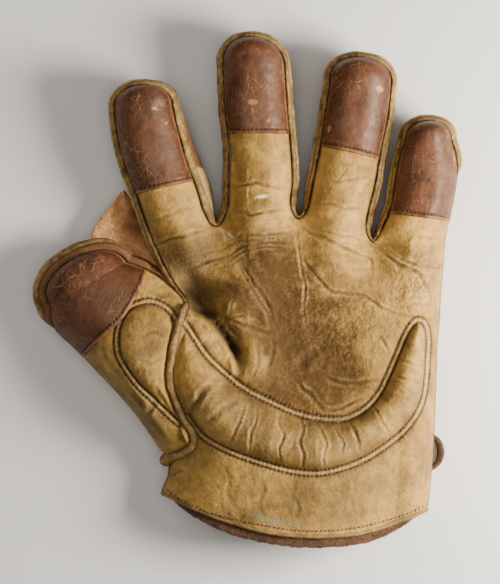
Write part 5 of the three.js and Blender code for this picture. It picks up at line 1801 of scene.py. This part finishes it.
@dataclass
class SideStrips:
    """The strips along the fingers' sides: up one finger, round its tip and down the next."""

    bulge: float = 3.4
    thumb_bulge: float = 7.0
    thumb_rim: float = 3.9
    groove_at: float = 2.2
    margin_from: float = 3.7
    columns: int = 26
    wall: float = 1.2
    gap: float = 0.2

    def build(self, finishes: Finishes) -> None:
        """Builds the six strips.

        Args:
            finishes: The materials.
        """
        sheets = {finger.name: (finger_sheet(finger, Face.FRONT), finger_sheet(finger, Face.BACK)) for finger in FINGERS}
        both = (self.bulge, self.bulge)
        sides = {
            (name, across): SeamLine.of(pair, across, ROOTS, both) for name, pair in sheets.items() for across in (0, 1)
        }
        for left, right, narrow in (("index", "middle", 3.0), ("middle", "ring", 2.3), ("ring", "little", 1.8)):
            line = sides[left, 1].backwards().then(sides[right, 0])
            line = line.eased(sides[right, 0].front[0], narrow)
            self._strip(f"strip_{left}_{right}", line, finishes.strip, f"gusset_{left}_{right}", margin=left == "index")
        outer = SeamLine.of(sheets["index"], 0, ROOTS - 2.95, both)
        self._strip("strip_index_outer", outer.eased(outer.front[0], 0.8), finishes.strip, "index_side_strip")
        little = SeamLine.of(sheets["little"], 1, ROOTS + 3.0, both)
        little = little.eased(little.front[0], 0.2, 14.0)
        self._strip("strip_little_tip", little.backwards(), finishes.strip, "little_tip_strip")
        thumb = (thumb_sheet(Face.FRONT), thumb_sheet(Face.BACK))
        up = SeamLine.of(thumb, 0, 8.3, (self.thumb_bulge, self.thumb_bulge))
        down = SeamLine.of(thumb, 1, 7.1, (1.5, self.thumb_bulge))
        line = up.then(down.backwards()).eased(up.front[0], 0.4, 11.0).eased(down.front[0], 0.4, 9.0)
        self._strip("strip_thumb", line, finishes.strip, "thumb_side_strip", rim=True)

    def _strip(self, name: str, line: SeamLine, material: bpy.types.Material, node: str, margin: bool = False, rim: bool = False) -> None:
        """Builds one strip.

        Its profile is half an ellipse that runs out from the front seam and down to the back seam.

        Args:
            name: Name of the piece.
            line: The seams that it joins.
            material: Its finish.
            node: CAD node that it replaces.
            margin: True where the back leather and its cap show beyond the strip.
            rim: True where a brown rim band lies along the front seam.
        """
        way = np.gradient(line.front[:, :2], axis=0)
        kernel = np.ones(7) / 7
        way = unit(np.column_stack([np.convolve(np.pad(part, 3, "edge"), kernel, "valid") for part in way.T]))
        outward = np.column_stack([-way[:, 1], way[:, 0]])[:, None, :]
        angle = np.linspace(0, np.pi, self.columns + 1)[None, :]
        down = angle / np.pi
        lean = (line.back - line.front)[:, None, :2] * (down**1.2)[..., None]
        half = (line.front[:, 2:] - line.back[:, 2:]) / 2
        middle = (line.front[:, 2:] + line.back[:, 2:]) / 2
        travelled = np.concatenate([[0], np.cumsum(np.linalg.norm(np.diff(line.front, axis=0), axis=1))])
        chart = np.stack(np.broadcast_arrays(travelled[:, None], down * 14.0), -1)
        crumple = 0.22 * Noise(31, 5.0, 3).at(chart) + 0.1 * Noise(32, 1.6, 2).at(chart * (1.0, 0.4))
        out = line.bulge[:, None] * np.sin(angle) ** 0.8
        upper = angle < np.pi / 2
        first_groove = np.exp(-((out / 0.55) ** 2)) * upper
        spread = out + np.linalg.norm(lean, axis=-1)
        seam_at = self.margin_from if margin else self.groove_at
        edge_groove = np.exp(-(((spread - seam_at) / 0.33) ** 2)) * upper
        groove = 0.7 * first_groove + (0.4 * edge_groove if not rim else 0)
        if rim:
            rim_line = np.exp(-(((out - self.thumb_rim) / 0.5) ** 2)) * upper
            groove = groove + 0.75 * rim_line

        def lay(inset: float) -> Array:
            """Lays the grid, inset mm inside the outer surface."""
            reach = self.gap + np.maximum(out - inset * np.sin(angle), 0.1) + (crumple - groove * np.sin(angle)) * (inset == 0)
            side = line.front[:, None, :2] + lean + outward * reach[..., None]
            height = middle + (half - inset) * np.cos(angle) - (groove * np.abs(np.cos(angle))) * (inset == 0)
            return np.concatenate([side, np.maximum(height, 0.2)[..., None]], -1)

        outer, inner = lay(0), lay(self.wall)
        zero = np.zeros(outer.shape[:2])
        cloud = Noise(33, 9.0, 3).at(chart)
        scuff = Noise(35, 1.5, 4).at(chart)
        # Painted shade in the grooves along the seams; the shade mask darkens the strip in patches.
        masks = {
            "crease": 0.75 * first_groove + (0.45 * edge_groove * (0.8 + 0.6 * scuff) if not rim else 0.9 * rim_line) + zero,
            "rubbed": 0.8 * np.exp(-(((spread - seam_at - 0.7) / 0.4) ** 2)) * upper * (0.5 + cloud) + 0.5 * np.clip(scuff, 0, 1),
            "shade": 0.42 + 0.35 * cloud,
            "grime": 0.25 - 0.3 * cloud + 0.5 * np.clip(-scuff - 0.2, 0, 1),
            "brown": zero,
            "pale": zero,
        }
        if margin:
            leaning = smooth_step(np.linalg.norm((line.back - line.front)[:, :2], axis=1), 1.5, 3.0)[:, None]
            beyond = smooth_step(spread, self.margin_from, self.margin_from + 0.3) * leaning
            high = smooth_step(line.front[:, 1:2] + 0.8 * Noise(34, 2.0).at(chart), 54.5, 55.5)
            masks["brown"], masks["pale"] = beyond * high, beyond * (1 - high)
        if rim:
            masks["brown"] = 0.85 * (out < self.thumb_rim) * upper * (0.9 + 0.3 * cloud)
        piece = Leather.of_grid(outer, inner, flip=True, **masks).build(name, material)
        enter(piece, "palm_leather", node)


@dataclass(frozen=True)
class Spot:
    """A worn, hazy or scuffed spot of a cap."""

    mask: str
    middle: Plan
    radii: Plan
    strength: float
    turn: float = 0.0


# In the order of the fingers, and then the thumb. Haze spots are a dull glaze with painted sheen, placed where the
# light glances off each cap.
CAP_SPOTS = {
    "index": (
        Spot("worn", (-43.2, 82.8), (2.4, 1.4), 0.9, -15), Spot("worn", (-38.6, 75.8), (1.6, 0.8), 0.8, 30),
        Spot("worn", (-50.0, 88.0), (1.0, 2.2), 0.6), Spot("haze", (-41.0, 62.0), (9.0, 16.0), 0.9, 15),
        Spot("haze", (-52.0, 52.0), (8.0, 7.0), 0.5),
    ),
    "middle": (
        Spot("worn", (2.3, 85.6), (3.2, 1.7), 1.0, -10), Spot("worn", (9.3, 77.2), (1.6, 2.0), 0.7, 20),
        Spot("worn", (14.5, 100.0), (1.2, 3.5), 0.6), Spot("haze", (4.0, 80.0), (9.0, 11.0), 0.75),
        Spot("haze", (9.0, 99.0), (6.0, 8.0), 0.35),
    ),
    "ring": (
        Spot("worn", (60.0, 92.0), (2.2, 2.6), 0.95, 20), Spot("worn", (38.1, 73.5), (1.4, 2.6), 0.9, -10),
        Spot("worn", (52.0, 103.0), (3.5, 0.9), 0.6), Spot("haze", (47.0, 77.0), (9.0, 9.0), 0.45),
    ),
    "little": (
        Spot("haze", (89.5, 51.0), (5.5, 12.0), 0.8, 8), Spot("haze", (75.0, 60.0), (5.0, 11.0), 0.5),
        Spot("worn", (95.0, 60.0), (1.4, 6.0), 0.75), Spot("worn", (80.0, 74.0), (2.6, 0.8), 0.6),
        Spot("worn", (90.5, 72.0), (2.6, 1.0), 0.6, -35), Spot("worn", (88.0, 40.5), (4.5, 0.6), 0.55),
    ),
    "thumb": (
        Spot("haze", (-62.0, -8.0), (9.0, 12.0), 1.0, -30), Spot("haze", (-76.0, -10.0), (8.0, 12.0), 0.35),
        Spot("worn", (-67.0, 12.0), (3.5, 1.2), 0.5, 10), Spot("worn", (-84.0, -20.0), (1.6, 3.0), 0.5, 30),
    ),
}


@dataclass
class Caps:
    """The glazed leather caps, whose lower edges are hemmed, stitched and worn."""

    columns: int = 72
    spacing: float = 0.5
    lift: float = 1.05
    seam_lift: float = 0.3
    under: float = 0.25
    hem: float = 1.9
    rows: list[tuple[Course, HeightMap]] = field(default_factory=list)

    def build(self, finishes: Finishes) -> None:
        """Builds the five front caps and the four back ones.

        Args:
            finishes: The materials.
        """
        for finger in FINGERS:
            start = tuple(ROOTS + place for place in finger.cap_from)
            self._cap(finger.name, finger_sheet(finger, Face.FRONT), start, finishes.cap, f"cap_{finger.name}")
            self._cap(f"{finger.name}_back", finger_sheet(finger, Face.BACK), start, finishes.cap, f"back_cap_{finger.name}")
        self._cap("thumb", thumb_sheet(Face.FRONT), (6.1, 9), finishes.cap, "thumb_cap", bow=0.25)

    def _cap(self, name: str, sheet: Sheet, start: tuple[float, float], material: bpy.types.Material, node: str, bow: float = 0.0) -> None:
        """Builds one cap.

        It stands on its sheet along the normal, by lift in the middle and by seam_lift at the seams, and its
        lower edge is rolled over.

        Args:
            name: Name of the cap, which is a key of the spots for a front cap.
            sheet: The sheet below it.
            start: Places of its lower edge at the left and right seams.
            material: Its finish.
            node: CAD node that it replaces.
            bow: How far the middle of the lower edge dips.
        """
        front = sheet.face is Face.FRONT
        columns = self.columns * (1 if name != "thumb" else 2) if front else self.columns // 3
        across = np.linspace(0.004, 0.996, columns + 1)[None, :]
        places = sheet.places(min(start), sheet.last + 0.985, self.spacing if front else 1.2, across=0.0)[:, None]
        edge_place = start[0] + (start[1] - start[0]) * across - bow * np.sin(np.pi * across)
        stretch = (sheet.last - edge_place) / (sheet.last - min(start))
        along = np.where(places > sheet.last, places, sheet.last - (sheet.last - places) * stretch)
        base = sheet.at(along, across)
        normals = grid_normals(base) * (1 if front else -1)
        low = np.concatenate([np.zeros((1, columns + 1)), np.cumsum(np.linalg.norm(np.diff(base, axis=0), axis=-1), axis=0)])
        border = Course(tuple(map(tuple, np.vstack([base[:, 0, :2], base[::-1, -1, :2]]))), detail=1)
        side, _, _ = border.nearest(base[..., :2].reshape(-1, 2), 12.0)
        side = side.reshape(low.shape)
        plan = base[..., :2]
        thick = self.seam_lift + (self.lift - self.seam_lift) * smooth_step(side, 0.2, 3.2)
        stitch = np.exp(-(((low - self.hem) / 0.4) ** 2))
        roll = np.sqrt(np.clip(low / 0.5, 0.02, 1))
        hem = smooth_step(self.hem - low, 0.1, 0.5)
        rise = thick * roll - 0.4 * stitch + 0.18 * hem
        rise = rise + 0.22 * Noise(51, 9.0, 3).at(plan) * smooth_step(side, 0.5, 4) + 0.07 * Noise(52, 2.4, 3).at(plan)
        rise = np.maximum(rise, self.under + 0.12 * roll)
        outer, inner = base + normals * rise[..., None], base + normals * (self.under * 0.3)
        if not front:
            outer[..., 2] = np.maximum(outer[..., 2], 0.05)
        rough = Noise(53, 3.0, 3).at(plan)
        zero = np.zeros_like(low)
        masks = {
            "edge": np.exp(-((side / 1.1) ** 2)) * 0.85 + 0.25 * rough * np.exp(-side / 3.0),
            # Painted shade: darker towards the seams, and darkest in the stitch groove and at the seams themselves.
            "shade": np.exp(-side / 2.4) * (0.9 + 0.4 * rough) + zero,
            "craze": 0.55 + 0.6 * Noise(54, 12.0, 2).at(plan),
            "crease": stitch * 0.75 + 0.8 * np.exp(-((side / 0.4) ** 2)),
            "hem": hem * (0.75 + 0.35 * rough),
            "haze": zero,
            "worn": zero,
        }
        for spot in CAP_SPOTS.get(name, ()):
            amount = Swell(spot.middle, spot.radii, 1, spot.turn).amount(plan.reshape(-1, 2)).reshape(low.shape)
            masks[spot.mask] = np.maximum(masks[spot.mask], spot.strength * amount)
        piece = Leather.of_grid(outer, inner, flip=not front, **masks).build(f"{name}_cap", material)
        enter(piece, "cap_leather", node)
        if front:
            row = np.argmin(np.abs(low - self.hem), axis=0)[3:-3]
            hem_line = outer[row, np.arange(3, columns - 2), :2][::3]
            self.rows.append((Course(tuple(map(tuple, hem_line)), detail=2), HeightMap.of(outer.reshape(-1, 3))))


def tube(path: Array, half_width: float | Array, above: float, below: float, sides: int = 18, pucker: float = 0.0) -> tuple[Array, list[Array], Array]:
    """Runs an oval along a path and closes both ends.

    Args:
        path: Points of its middle.
        half_width: Half of its width, or a column of such values.
        above: Height of its upper half.
        below: Height of its lower half.
        sides: Number of sides.
        pucker: Size of the puckers across it.

    Returns:
        Points, groups of faces, and each point's height within the oval from -1 to 1.
    """
    way = unit(np.gradient(path[:, :2], axis=0))
    travelled = np.concatenate([[0], np.cumsum(np.linalg.norm(np.diff(path, axis=0), axis=1))])
    from_end = np.minimum(travelled, travelled[-1] - travelled)[:, None]
    taper = np.sqrt(np.clip(from_end / half_width, 0.03, 1))
    turn = np.arange(sides)[None, :] * 2 * np.pi / sides
    chart = np.stack(np.broadcast_arrays(travelled[:, None], 3 * np.cos(turn)), -1)
    swell = taper * (1 + pucker * Noise(61, 2.2, 3).at(chart))
    out, rise = half_width * np.cos(turn) * swell, np.sin(turn) * swell
    rise = rise * np.where(rise > 0, above, below)
    rings = path[:, None, :] + np.stack([way[:, None, 1] * out, -way[:, None, 0] * out, rise], -1)
    count = len(path) * sides
    numbers = np.arange(count).reshape(len(path), sides)
    quads = np.stack([numbers[:-1], np.roll(numbers[:-1], -1, 1), np.roll(numbers[1:], -1, 1), numbers[1:]], -1)
    ends = [
        np.column_stack([np.full(sides, count), np.roll(numbers[0], -1), numbers[0]]),
        np.column_stack([np.full(sides, count + 1), numbers[-1], np.roll(numbers[-1], -1)]),
    ]
    points = np.vstack([rings.reshape(-1, 3), path[[0, -1]]])
    height = np.concatenate([np.broadcast_to(np.sin(turn), rings.shape[:2]).ravel(), [0, 0]])
    return points, [quads.reshape(-1, 4)[:, ::-1], np.vstack(ends)[:, ::-1]], height


def wrist_edge(columns: int = 56) -> tuple[Array, Array]:
    """Gives the points of the palm leather's wrist edge and the way out of the glove at each."""
    share = np.linspace(0, 1, columns + 1)
    points = np.vstack([finger_sheet(finger, Face.FRONT).at(0, share)[(lane > 0) :] for lane, finger in enumerate(FINGERS)])
    way = unit(np.gradient(points[:, :2], axis=0))
    return points, np.column_stack([way[:, 1], -way[:, 0]])


@dataclass
class Trims:
    """The welt, the cuff piping, the felt lip, the web and the wrist strap."""

    welt_half_width: float = 1.75
    piping_radius: float = 1.1
    felt_tuck: float = 7.0
    felt_show: float = 5.8
    felt_drop: float = 2.3
    felt_wall: float = 2.0
    web_top: float = 9.5
    web_wall: float = 2.0

    def welt(self, finishes: Finishes) -> None:
        """Builds the rolled welt between thumb and palm, with puckers where its stitches pull."""
        rows = np.vstack([WELT_TAIL, WELT])
        path = spline(rows, np.linspace(0, len(rows) - 1, 190))
        path[:, 2] += 0.4
        from_tail = np.linalg.norm(path[:, :2] - path[0, :2], axis=1)[:, None]
        half_width = self.welt_half_width + 2.0 * np.exp(-((from_tail / 6.0) ** 2))
        points, faces, height = tube(path, half_width, 1.7, 3.4, 22, 0.13)
        rough = Noise(62, 3.0, 3).at(points[:, :2])
        masks = {
            # The top of the roll is lighter, part wear and part painted sheen; its lower half has painted shade.
            "rubbed": 0.9 * smooth_step(height + 0.5 * rough, 0.5, 1.1),
            "crease": 0.8 * smooth_step(-height, -0.25, 0.3),
            "grime": 0.3 * rough,
        }
        piece = make_object("welt", points, faces, finishes.welt, masks)
        enter(piece, "welt_leather", "thumb_welt")

    def piping(self, finishes: Finishes) -> None:
        """Builds the rolled edge of the cuff."""
        edge, out = wrist_edge()
        path = edge.copy()
        path[:, :2] += out * (self.piping_radius * 0.75)
        path[:, 2] -= 0.9
        points, faces, height = tube(path, self.piping_radius, self.piping_radius, self.piping_radius, 14, 0.1)
        rough = Noise(63, 4.0, 3).at(points[:, :2])
        # The top of the roll is lighter, part wear and part painted sheen; its lower half has painted shade.
        masks = {"rubbed": 0.6 * smooth_step(height + 0.7 * rough, 0.5, 1.1), "crease": 0.5 * smooth_step(-height, 0, 0.6)}
        piece = make_object("cuff_roll", points, faces, finishes.welt, masks)
        enter(piece, "welt_leather", "cuff_piping")

    def felt(self, finishes: Finishes) -> None:
        """Builds the lip of the felt lining, which shows past the piping with a torn, fibrous edge."""
        edge, out = wrist_edge()
        edge, out = edge[4:-4], out[4:-4]
        place = np.linspace(0, 1, len(edge))[:, None]
        ends = dome(place, 5, 5)
        share = np.linspace(0, 1, 25)[None, :]
        torn = 0.35 * Noise(64, 3.0, 4).at(edge[:, :2])[:, None]
        reach = -self.felt_tuck + (self.felt_tuck + self.felt_show * ends + 0.6 + torn) * share
        inwards = (2.4 - 1.8 * share) * (1 - ends) * np.where(place < 0.5, 1, -1)
        plan = edge[:, None, :2] + out[:, None, :] * reach[..., None]
        plan[..., 0] += inwards
        fuzz = 0.3 * Noise(65, 2.2, 4).at(plan) + 0.5 * Noise(66, 11.0, 2).at(plan)
        round_off = 1.0 * np.clip((reach - reach[:, -1:] + 1.1) / 1.1, 0, 1) ** 2
        top = edge[:, None, 2] - self.felt_drop + fuzz * smooth_step(share, 0.2, 0.6) - round_off
        outer = np.concatenate([plan, top[..., None]], -1)
        inner = outer.copy()
        inner[..., 2] = top - self.felt_wall + 1.4 * round_off
        piece = Leather.of_grid(outer, inner, flip=True).build("felt_lining_edge", finishes.felt)
        enter(piece, "felt", "felt_lip")

    def web(self, finishes: Finishes) -> None:
        """Builds the web between thumb and index finger, with soft folds that run down from its top edge."""
        rows = np.array([
            (-30.5, -6.5, -29, -6), (-36, 1, -32.5, 2), (-42, 8, -38.5, 9.5), (-50, 14.2, -44, 17),
            (-60, 16, -46.5, 23.2), (-73, 22.5, -49.3, 30), (-71, 30.3, -52, 37), (-65.5, 37.6, -55, 42.3),
            (-60, 44.3, -57.8, 45.8),
        ])
        edges = spline(rows, np.linspace(0, len(rows) - 1, 90))[:, None, :]
        share = np.linspace(0, 1, 49)[None, :, None]
        plan = edges[..., :2] + (edges[..., 2:] - edges[..., :2]) * share
        share = share[..., 0]
        gap = np.minimum(share, 1 - share) * np.linalg.norm(edges[..., 2:] - edges[..., :2], axis=-1)
        rim = np.sqrt(np.clip(gap / 0.9, 0, 1))
        folds = 0.7 * np.sin(share * 9.0 + 2.2 * Noise(67, 14.0, 2).at(plan)) + 0.5 * Noise(68, 5.0, 3).at(plan)
        top = self.web_top + 0.7 * rim + 0.6 * folds * rim - 0.7
        outer = np.concatenate([plan, top[..., None]], -1)
        inner = outer.copy()
        inner[..., 2] = top - self.web_wall * (0.25 + 0.75 * rim)
        # Painted shadow of the index finger's strip along the web's edge beneath it, and painted shade in the folds'
        # hollows.
        strip_shadow = np.exp(-(((1 - share) / 0.33) ** 2)) * (1 + 0.3 * Noise(69, 6.0, 3).at(plan))
        dark = {"crease": np.clip(0.95 * strip_shadow + 0.25 * np.clip(-folds, 0, 1), 0, 1)}
        piece = Leather.of_grid(outer, inner, flip=True, **dark).build("web_leather", finishes.web)
        enter(piece, "web_leather", "web")

    def strap(self, finishes: Finishes) -> None:
        """Builds the wrist strap: a flat band with a rounded, slotted end, all with rounded edges.

        The end is a family of closed curves from the slot out to its outline, over which a rounded rectangle
        is run; the band is such a rectangle run straight.
        """
        left, right, middle, width, wall = -10.0, 92.5, -77.0, 19.0, 2.6
        hole, inset, length = 4.4, 5.8, 7.0
        radius = width / 2
        turn = np.linspace(0, 2 * np.pi, 97)[:-1]
        corner = np.sign(np.sin(turn)) * np.abs(np.sin(turn)) ** 0.95
        slot = np.column_stack([right - inset + hole / 2 * np.cos(turn), middle + hole / 2 * np.sin(turn) + length / 2 * corner])
        outline = np.column_stack([right - radius + radius * np.cos(turn), middle + radius * np.sin(turn)])
        outline[:, 0] = np.where(np.cos(turn) < 0, right - radius + radius * 1.1 * np.cos(turn), outline[:, 0])
        angle = np.linspace(0, 2 * np.pi, 33)[:-1]
        across = 0.5 - 0.5 * np.sign(np.cos(angle)) * np.abs(np.cos(angle)) ** 0.35
        height = wall / 2 + wall / 2 * np.sign(np.sin(angle)) * np.abs(np.sin(angle)) ** 0.55
        ring = slot[:, None, :] + (outline - slot)[:, None, :] * across[None, :, None]
        end = np.concatenate([ring, np.broadcast_to(height[None, :, None], (*ring.shape[:2], 1))], -1)
        numbers = np.arange(end.shape[0] * end.shape[1]).reshape(end.shape[:2])
        ahead = np.roll(numbers, -1, 0)
        quads = np.stack([numbers, np.roll(numbers, -1, 1), np.roll(ahead, -1, 1), ahead], -1).reshape(-1, 4)
        rub_and_sheen = np.broadcast_to((across**4)[None, :], end.shape[:2]).ravel()
        x = np.linspace(left, right - inset - hole, 60)
        spread = -radius + width * across
        band = np.stack(np.broadcast_arrays(x[:, None], middle + 0.985 * spread[None, :], height[None, :]), -1)
        more = np.arange(band.shape[0] * band.shape[1]).reshape(band.shape[:2]) + numbers.size
        body = np.stack([more[:-1], np.roll(more[:-1], -1, 1), np.roll(more[1:], -1, 1), more[1:]], -1).reshape(-1, 4)
        count = numbers.size + more.size
        lids = [np.column_stack([np.full(32, count), more[0], np.roll(more[0], -1)]),
                np.column_stack([np.full(32, count + 1), np.roll(more[-1], -1), more[-1]])]
        centres = np.array([(x[0], middle, wall / 2), (x[-1], middle, wall / 2)])
        points = np.vstack([end.reshape(-1, 3), band.reshape(-1, 3), centres])
        # Painted shade round the slot's hollow; the outer rim is lighter, part wear and part painted sheen.
        slot_shade = np.broadcast_to((0.8 * np.exp(-((across / 0.3) ** 2)))[None, :], end.shape[:2]).ravel()
        plain = np.zeros(more.size + 2)
        masks = {"rubbed": np.concatenate([rub_and_sheen, plain]), "crease": np.concatenate([slot_shade, plain])}
        piece = make_object("slotted_strap", points, [quads, body, *lids], finishes.strap, masks)
        enter(piece, "strap_leather", "wrist_strap")


@dataclass(frozen=True)
class Stitching:
    """Rows of stitches: small capsules laid on a leather, turned a little out of their row."""

    pitch: float = 1.95
    length: float = 1.75
    radius: float = 0.34
    turn: float = 16.0
    sides: int = 6

    def lay(self, name: str, rows: Sequence[tuple[Course, HeightMap]], material: bpy.types.Material, lift: float = 0.1) -> None:
        """Builds the stitches of some rows as one piece.

        Args:
            name: Name of the piece.
            rows: The rows, each with the heights of the leather that it lies on.
            material: Finish of the thread.
            lift: Height of the stitches' middles over the leather.
        """
        centres, ways, normals = (np.vstack(parts) for parts in zip(*(self._places(*row) for row in rows)))
        centres = centres + normals * lift
        angle = np.radians(self.turn)
        aside = unit(np.cross(normals, ways))
        ways = ways * math.cos(angle) + aside * math.sin(angle)
        aside = unit(np.cross(normals, ways))
        station = np.array([-0.36, 0.0, 0.36]) * self.length
        turns = np.arange(self.sides) * 2 * np.pi / self.sides
        girth = self.radius * np.array([0.85, 1.0, 0.85])
        x = np.repeat(station, self.sides)
        y = np.outer(girth, np.cos(turns)).ravel()
        z = np.outer(girth, np.sin(turns)).ravel() - 0.35 * self.radius * np.repeat([1, 0, 1], self.sides)
        tip = 0.5 * self.length
        local = np.vstack([np.column_stack([x, y, z]), [(-tip, 0, -0.9 * self.radius), (tip, 0, -0.9 * self.radius)]])
        axes = np.stack([ways, aside, normals], 1)
        points = centres[:, None, :] + np.einsum("kc,nca->nka", local, axes)
        ring = np.arange(3 * self.sides).reshape(3, self.sides)
        quads = np.stack([ring[:-1], np.roll(ring[:-1], -1, 1), np.roll(ring[1:], -1, 1), ring[1:]], -1).reshape(-1, 4)
        low, high = len(local) - 2, len(local) - 1
        fans = np.vstack([
            np.column_stack([np.full(self.sides, low), np.roll(ring[0], -1), ring[0]]),
            np.column_stack([np.full(self.sides, high), ring[-1], np.roll(ring[-1], -1)]),
        ])
        shift = (np.arange(len(centres)) * len(local))[:, None, None]
        faces = [(quads[None] + shift).reshape(-1, 4)[:, ::-1], (fans[None] + shift).reshape(-1, 3)[:, ::-1]]
        enter(make_object(name, points.reshape(-1, 3), faces, material), None)

    def _places(self, course: Course, ground: HeightMap) -> tuple[Array, Array, Array]:
        """Spaces stitches along a row.

        Args:
            course: The row.
            ground: Heights of the leather.

        Returns:
            The middle of each stitch, its way along the leather and the leather's normal.
        """
        line = course.points()
        travelled = np.concatenate([[0], np.cumsum(np.linalg.norm(np.diff(line, axis=0), axis=1))])
        stops = np.arange(0.5 * self.pitch, travelled[-1], self.pitch)
        plan = np.column_stack([np.interp(stops, travelled, part) for part in line.T])
        ahead = np.column_stack([np.interp(stops + 0.4, travelled, part) for part in line.T])
        behind = np.column_stack([np.interp(stops - 0.4, travelled, part) for part in line.T])
        normals = ground.normals(plan)
        flat = np.column_stack([ahead - behind, np.zeros(len(plan))])
        ways = unit(flat - normals * np.sum(flat * normals, axis=1, keepdims=True))
        return np.column_stack([plan, ground.at(plan)]), ways, normals


@dataclass
class Studio:
    """The floor, the lights and the camera, which looks straight down as the photograph does."""

    lens: float = 200.0
    view_height: float = 271.6
    middle: Plan = (0.93, -1.86)
    level: float = 18.0
    key_place: tuple[float, float, float] = (0.37, -0.03, 0.25)
    key_power: float = 6.6

    def build(self) -> None:
        """Makes the floor, the camera and the lights."""
        self._floor()
        self._camera()
        self._area("key_light", self.key_place, 0.20, self.key_power, (1.0, 0.94, 0.84))
        fill = self._area("fill_light", (-0.55, 0.35, 0.6), 0.9, 2.6, (1.0, 0.96, 0.90))
        fill.visible_glossy = False
        self._area("top_light", (0.1, -0.1, 1.9), 1.1, 8.0, (1.0, 0.97, 0.92))
        world = bpy.data.worlds.new("studio")
        world.use_nodes = True
        world.node_tree.nodes["Background"].inputs["Color"].default_value = (1.0, 0.97, 0.93, 1)
        world.node_tree.nodes["Background"].inputs["Strength"].default_value = 0.12
        bpy.context.scene.world = world

    def _floor(self) -> None:
        """Makes the floor just under the glove."""
        corners = np.array([(-2500, -2500, -0.2), (2500, -2500, -0.2), (2500, 2500, -0.2), (-2500, 2500, -0.2)], float)
        floor = make_object("floor", corners, [np.array([[0, 1, 2, 3]])], Paper().material())

    def _camera(self) -> None:
        """Makes the camera: its long lens covers view_height millimetres at the height of the palm."""
        data = bpy.data.cameras.new("camera")
        data.lens = self.lens
        camera = bpy.data.objects.new("camera", data)
        distance = self.view_height * self.lens / data.sensor_width
        camera.location = (self.middle[0] * MM, self.middle[1] * MM, (self.level + distance) * MM)
        data.clip_end = 100
        bpy.context.scene.collection.objects.link(camera)
        bpy.context.scene.camera = camera

    @staticmethod
    def _area(name: str, place: tuple[float, float, float], size: float, power: float, colour: Colour) -> bpy.types.Object:
        """Makes a square light that points at the middle of the glove.

        Args:
            name: Name of the light.
            place: Its place in metres.
            size: Length of its side in metres.
            power: Power in watts.
            colour: Its colour.

        Returns:
            The light.
        """
        data = bpy.data.lights.new(name, "AREA")
        data.size, data.energy, data.color = size, power, colour
        light = bpy.data.objects.new(name, data)
        x, y, z = place
        light.location = place
        light.rotation_euler = (math.atan2(math.hypot(x, y), z), 0, math.atan2(y, x) + math.pi / 2)
        bpy.context.scene.collection.objects.link(light)
        return light


def main() -> None:
    """Builds the glove piece by piece."""
    logging.basicConfig(level=logging.INFO, format="%(name)s %(message)s")
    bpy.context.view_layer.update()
    Studio().build()
    finishes = Finishes()
    hand = Hand()
    hand.front(finishes)
    hand.back(finishes)
    thumb = Thumb()
    thumb.front(finishes)
    thumb.back(finishes)
    SideStrips().build(finishes)
    caps = Caps()
    caps.build(finishes)
    trims = Trims()
    for part in (trims.welt, trims.piping, trims.felt, trims.web, trims.strap):
        part(finishes)
    stitching = Stitching()
    heel = [(row, hand.heights) for row in StitchedLine(HEEL_SEAM).rows()]
    stitching.lay("stitches_heel", heel, finishes.thread)
    stitching.lay("stitches_thumb", [(row, thumb.heights) for row in StitchedLine(THUMB_LEAF).rows()], finishes.thread)
    stitching.lay("stitches_cuff", [(CUFF_STITCHES, hand.heights)], finishes.thread)
    stitching.lay("stitches_caps", caps.rows, finishes.thread)


if __name__ == "__main__":
    main()
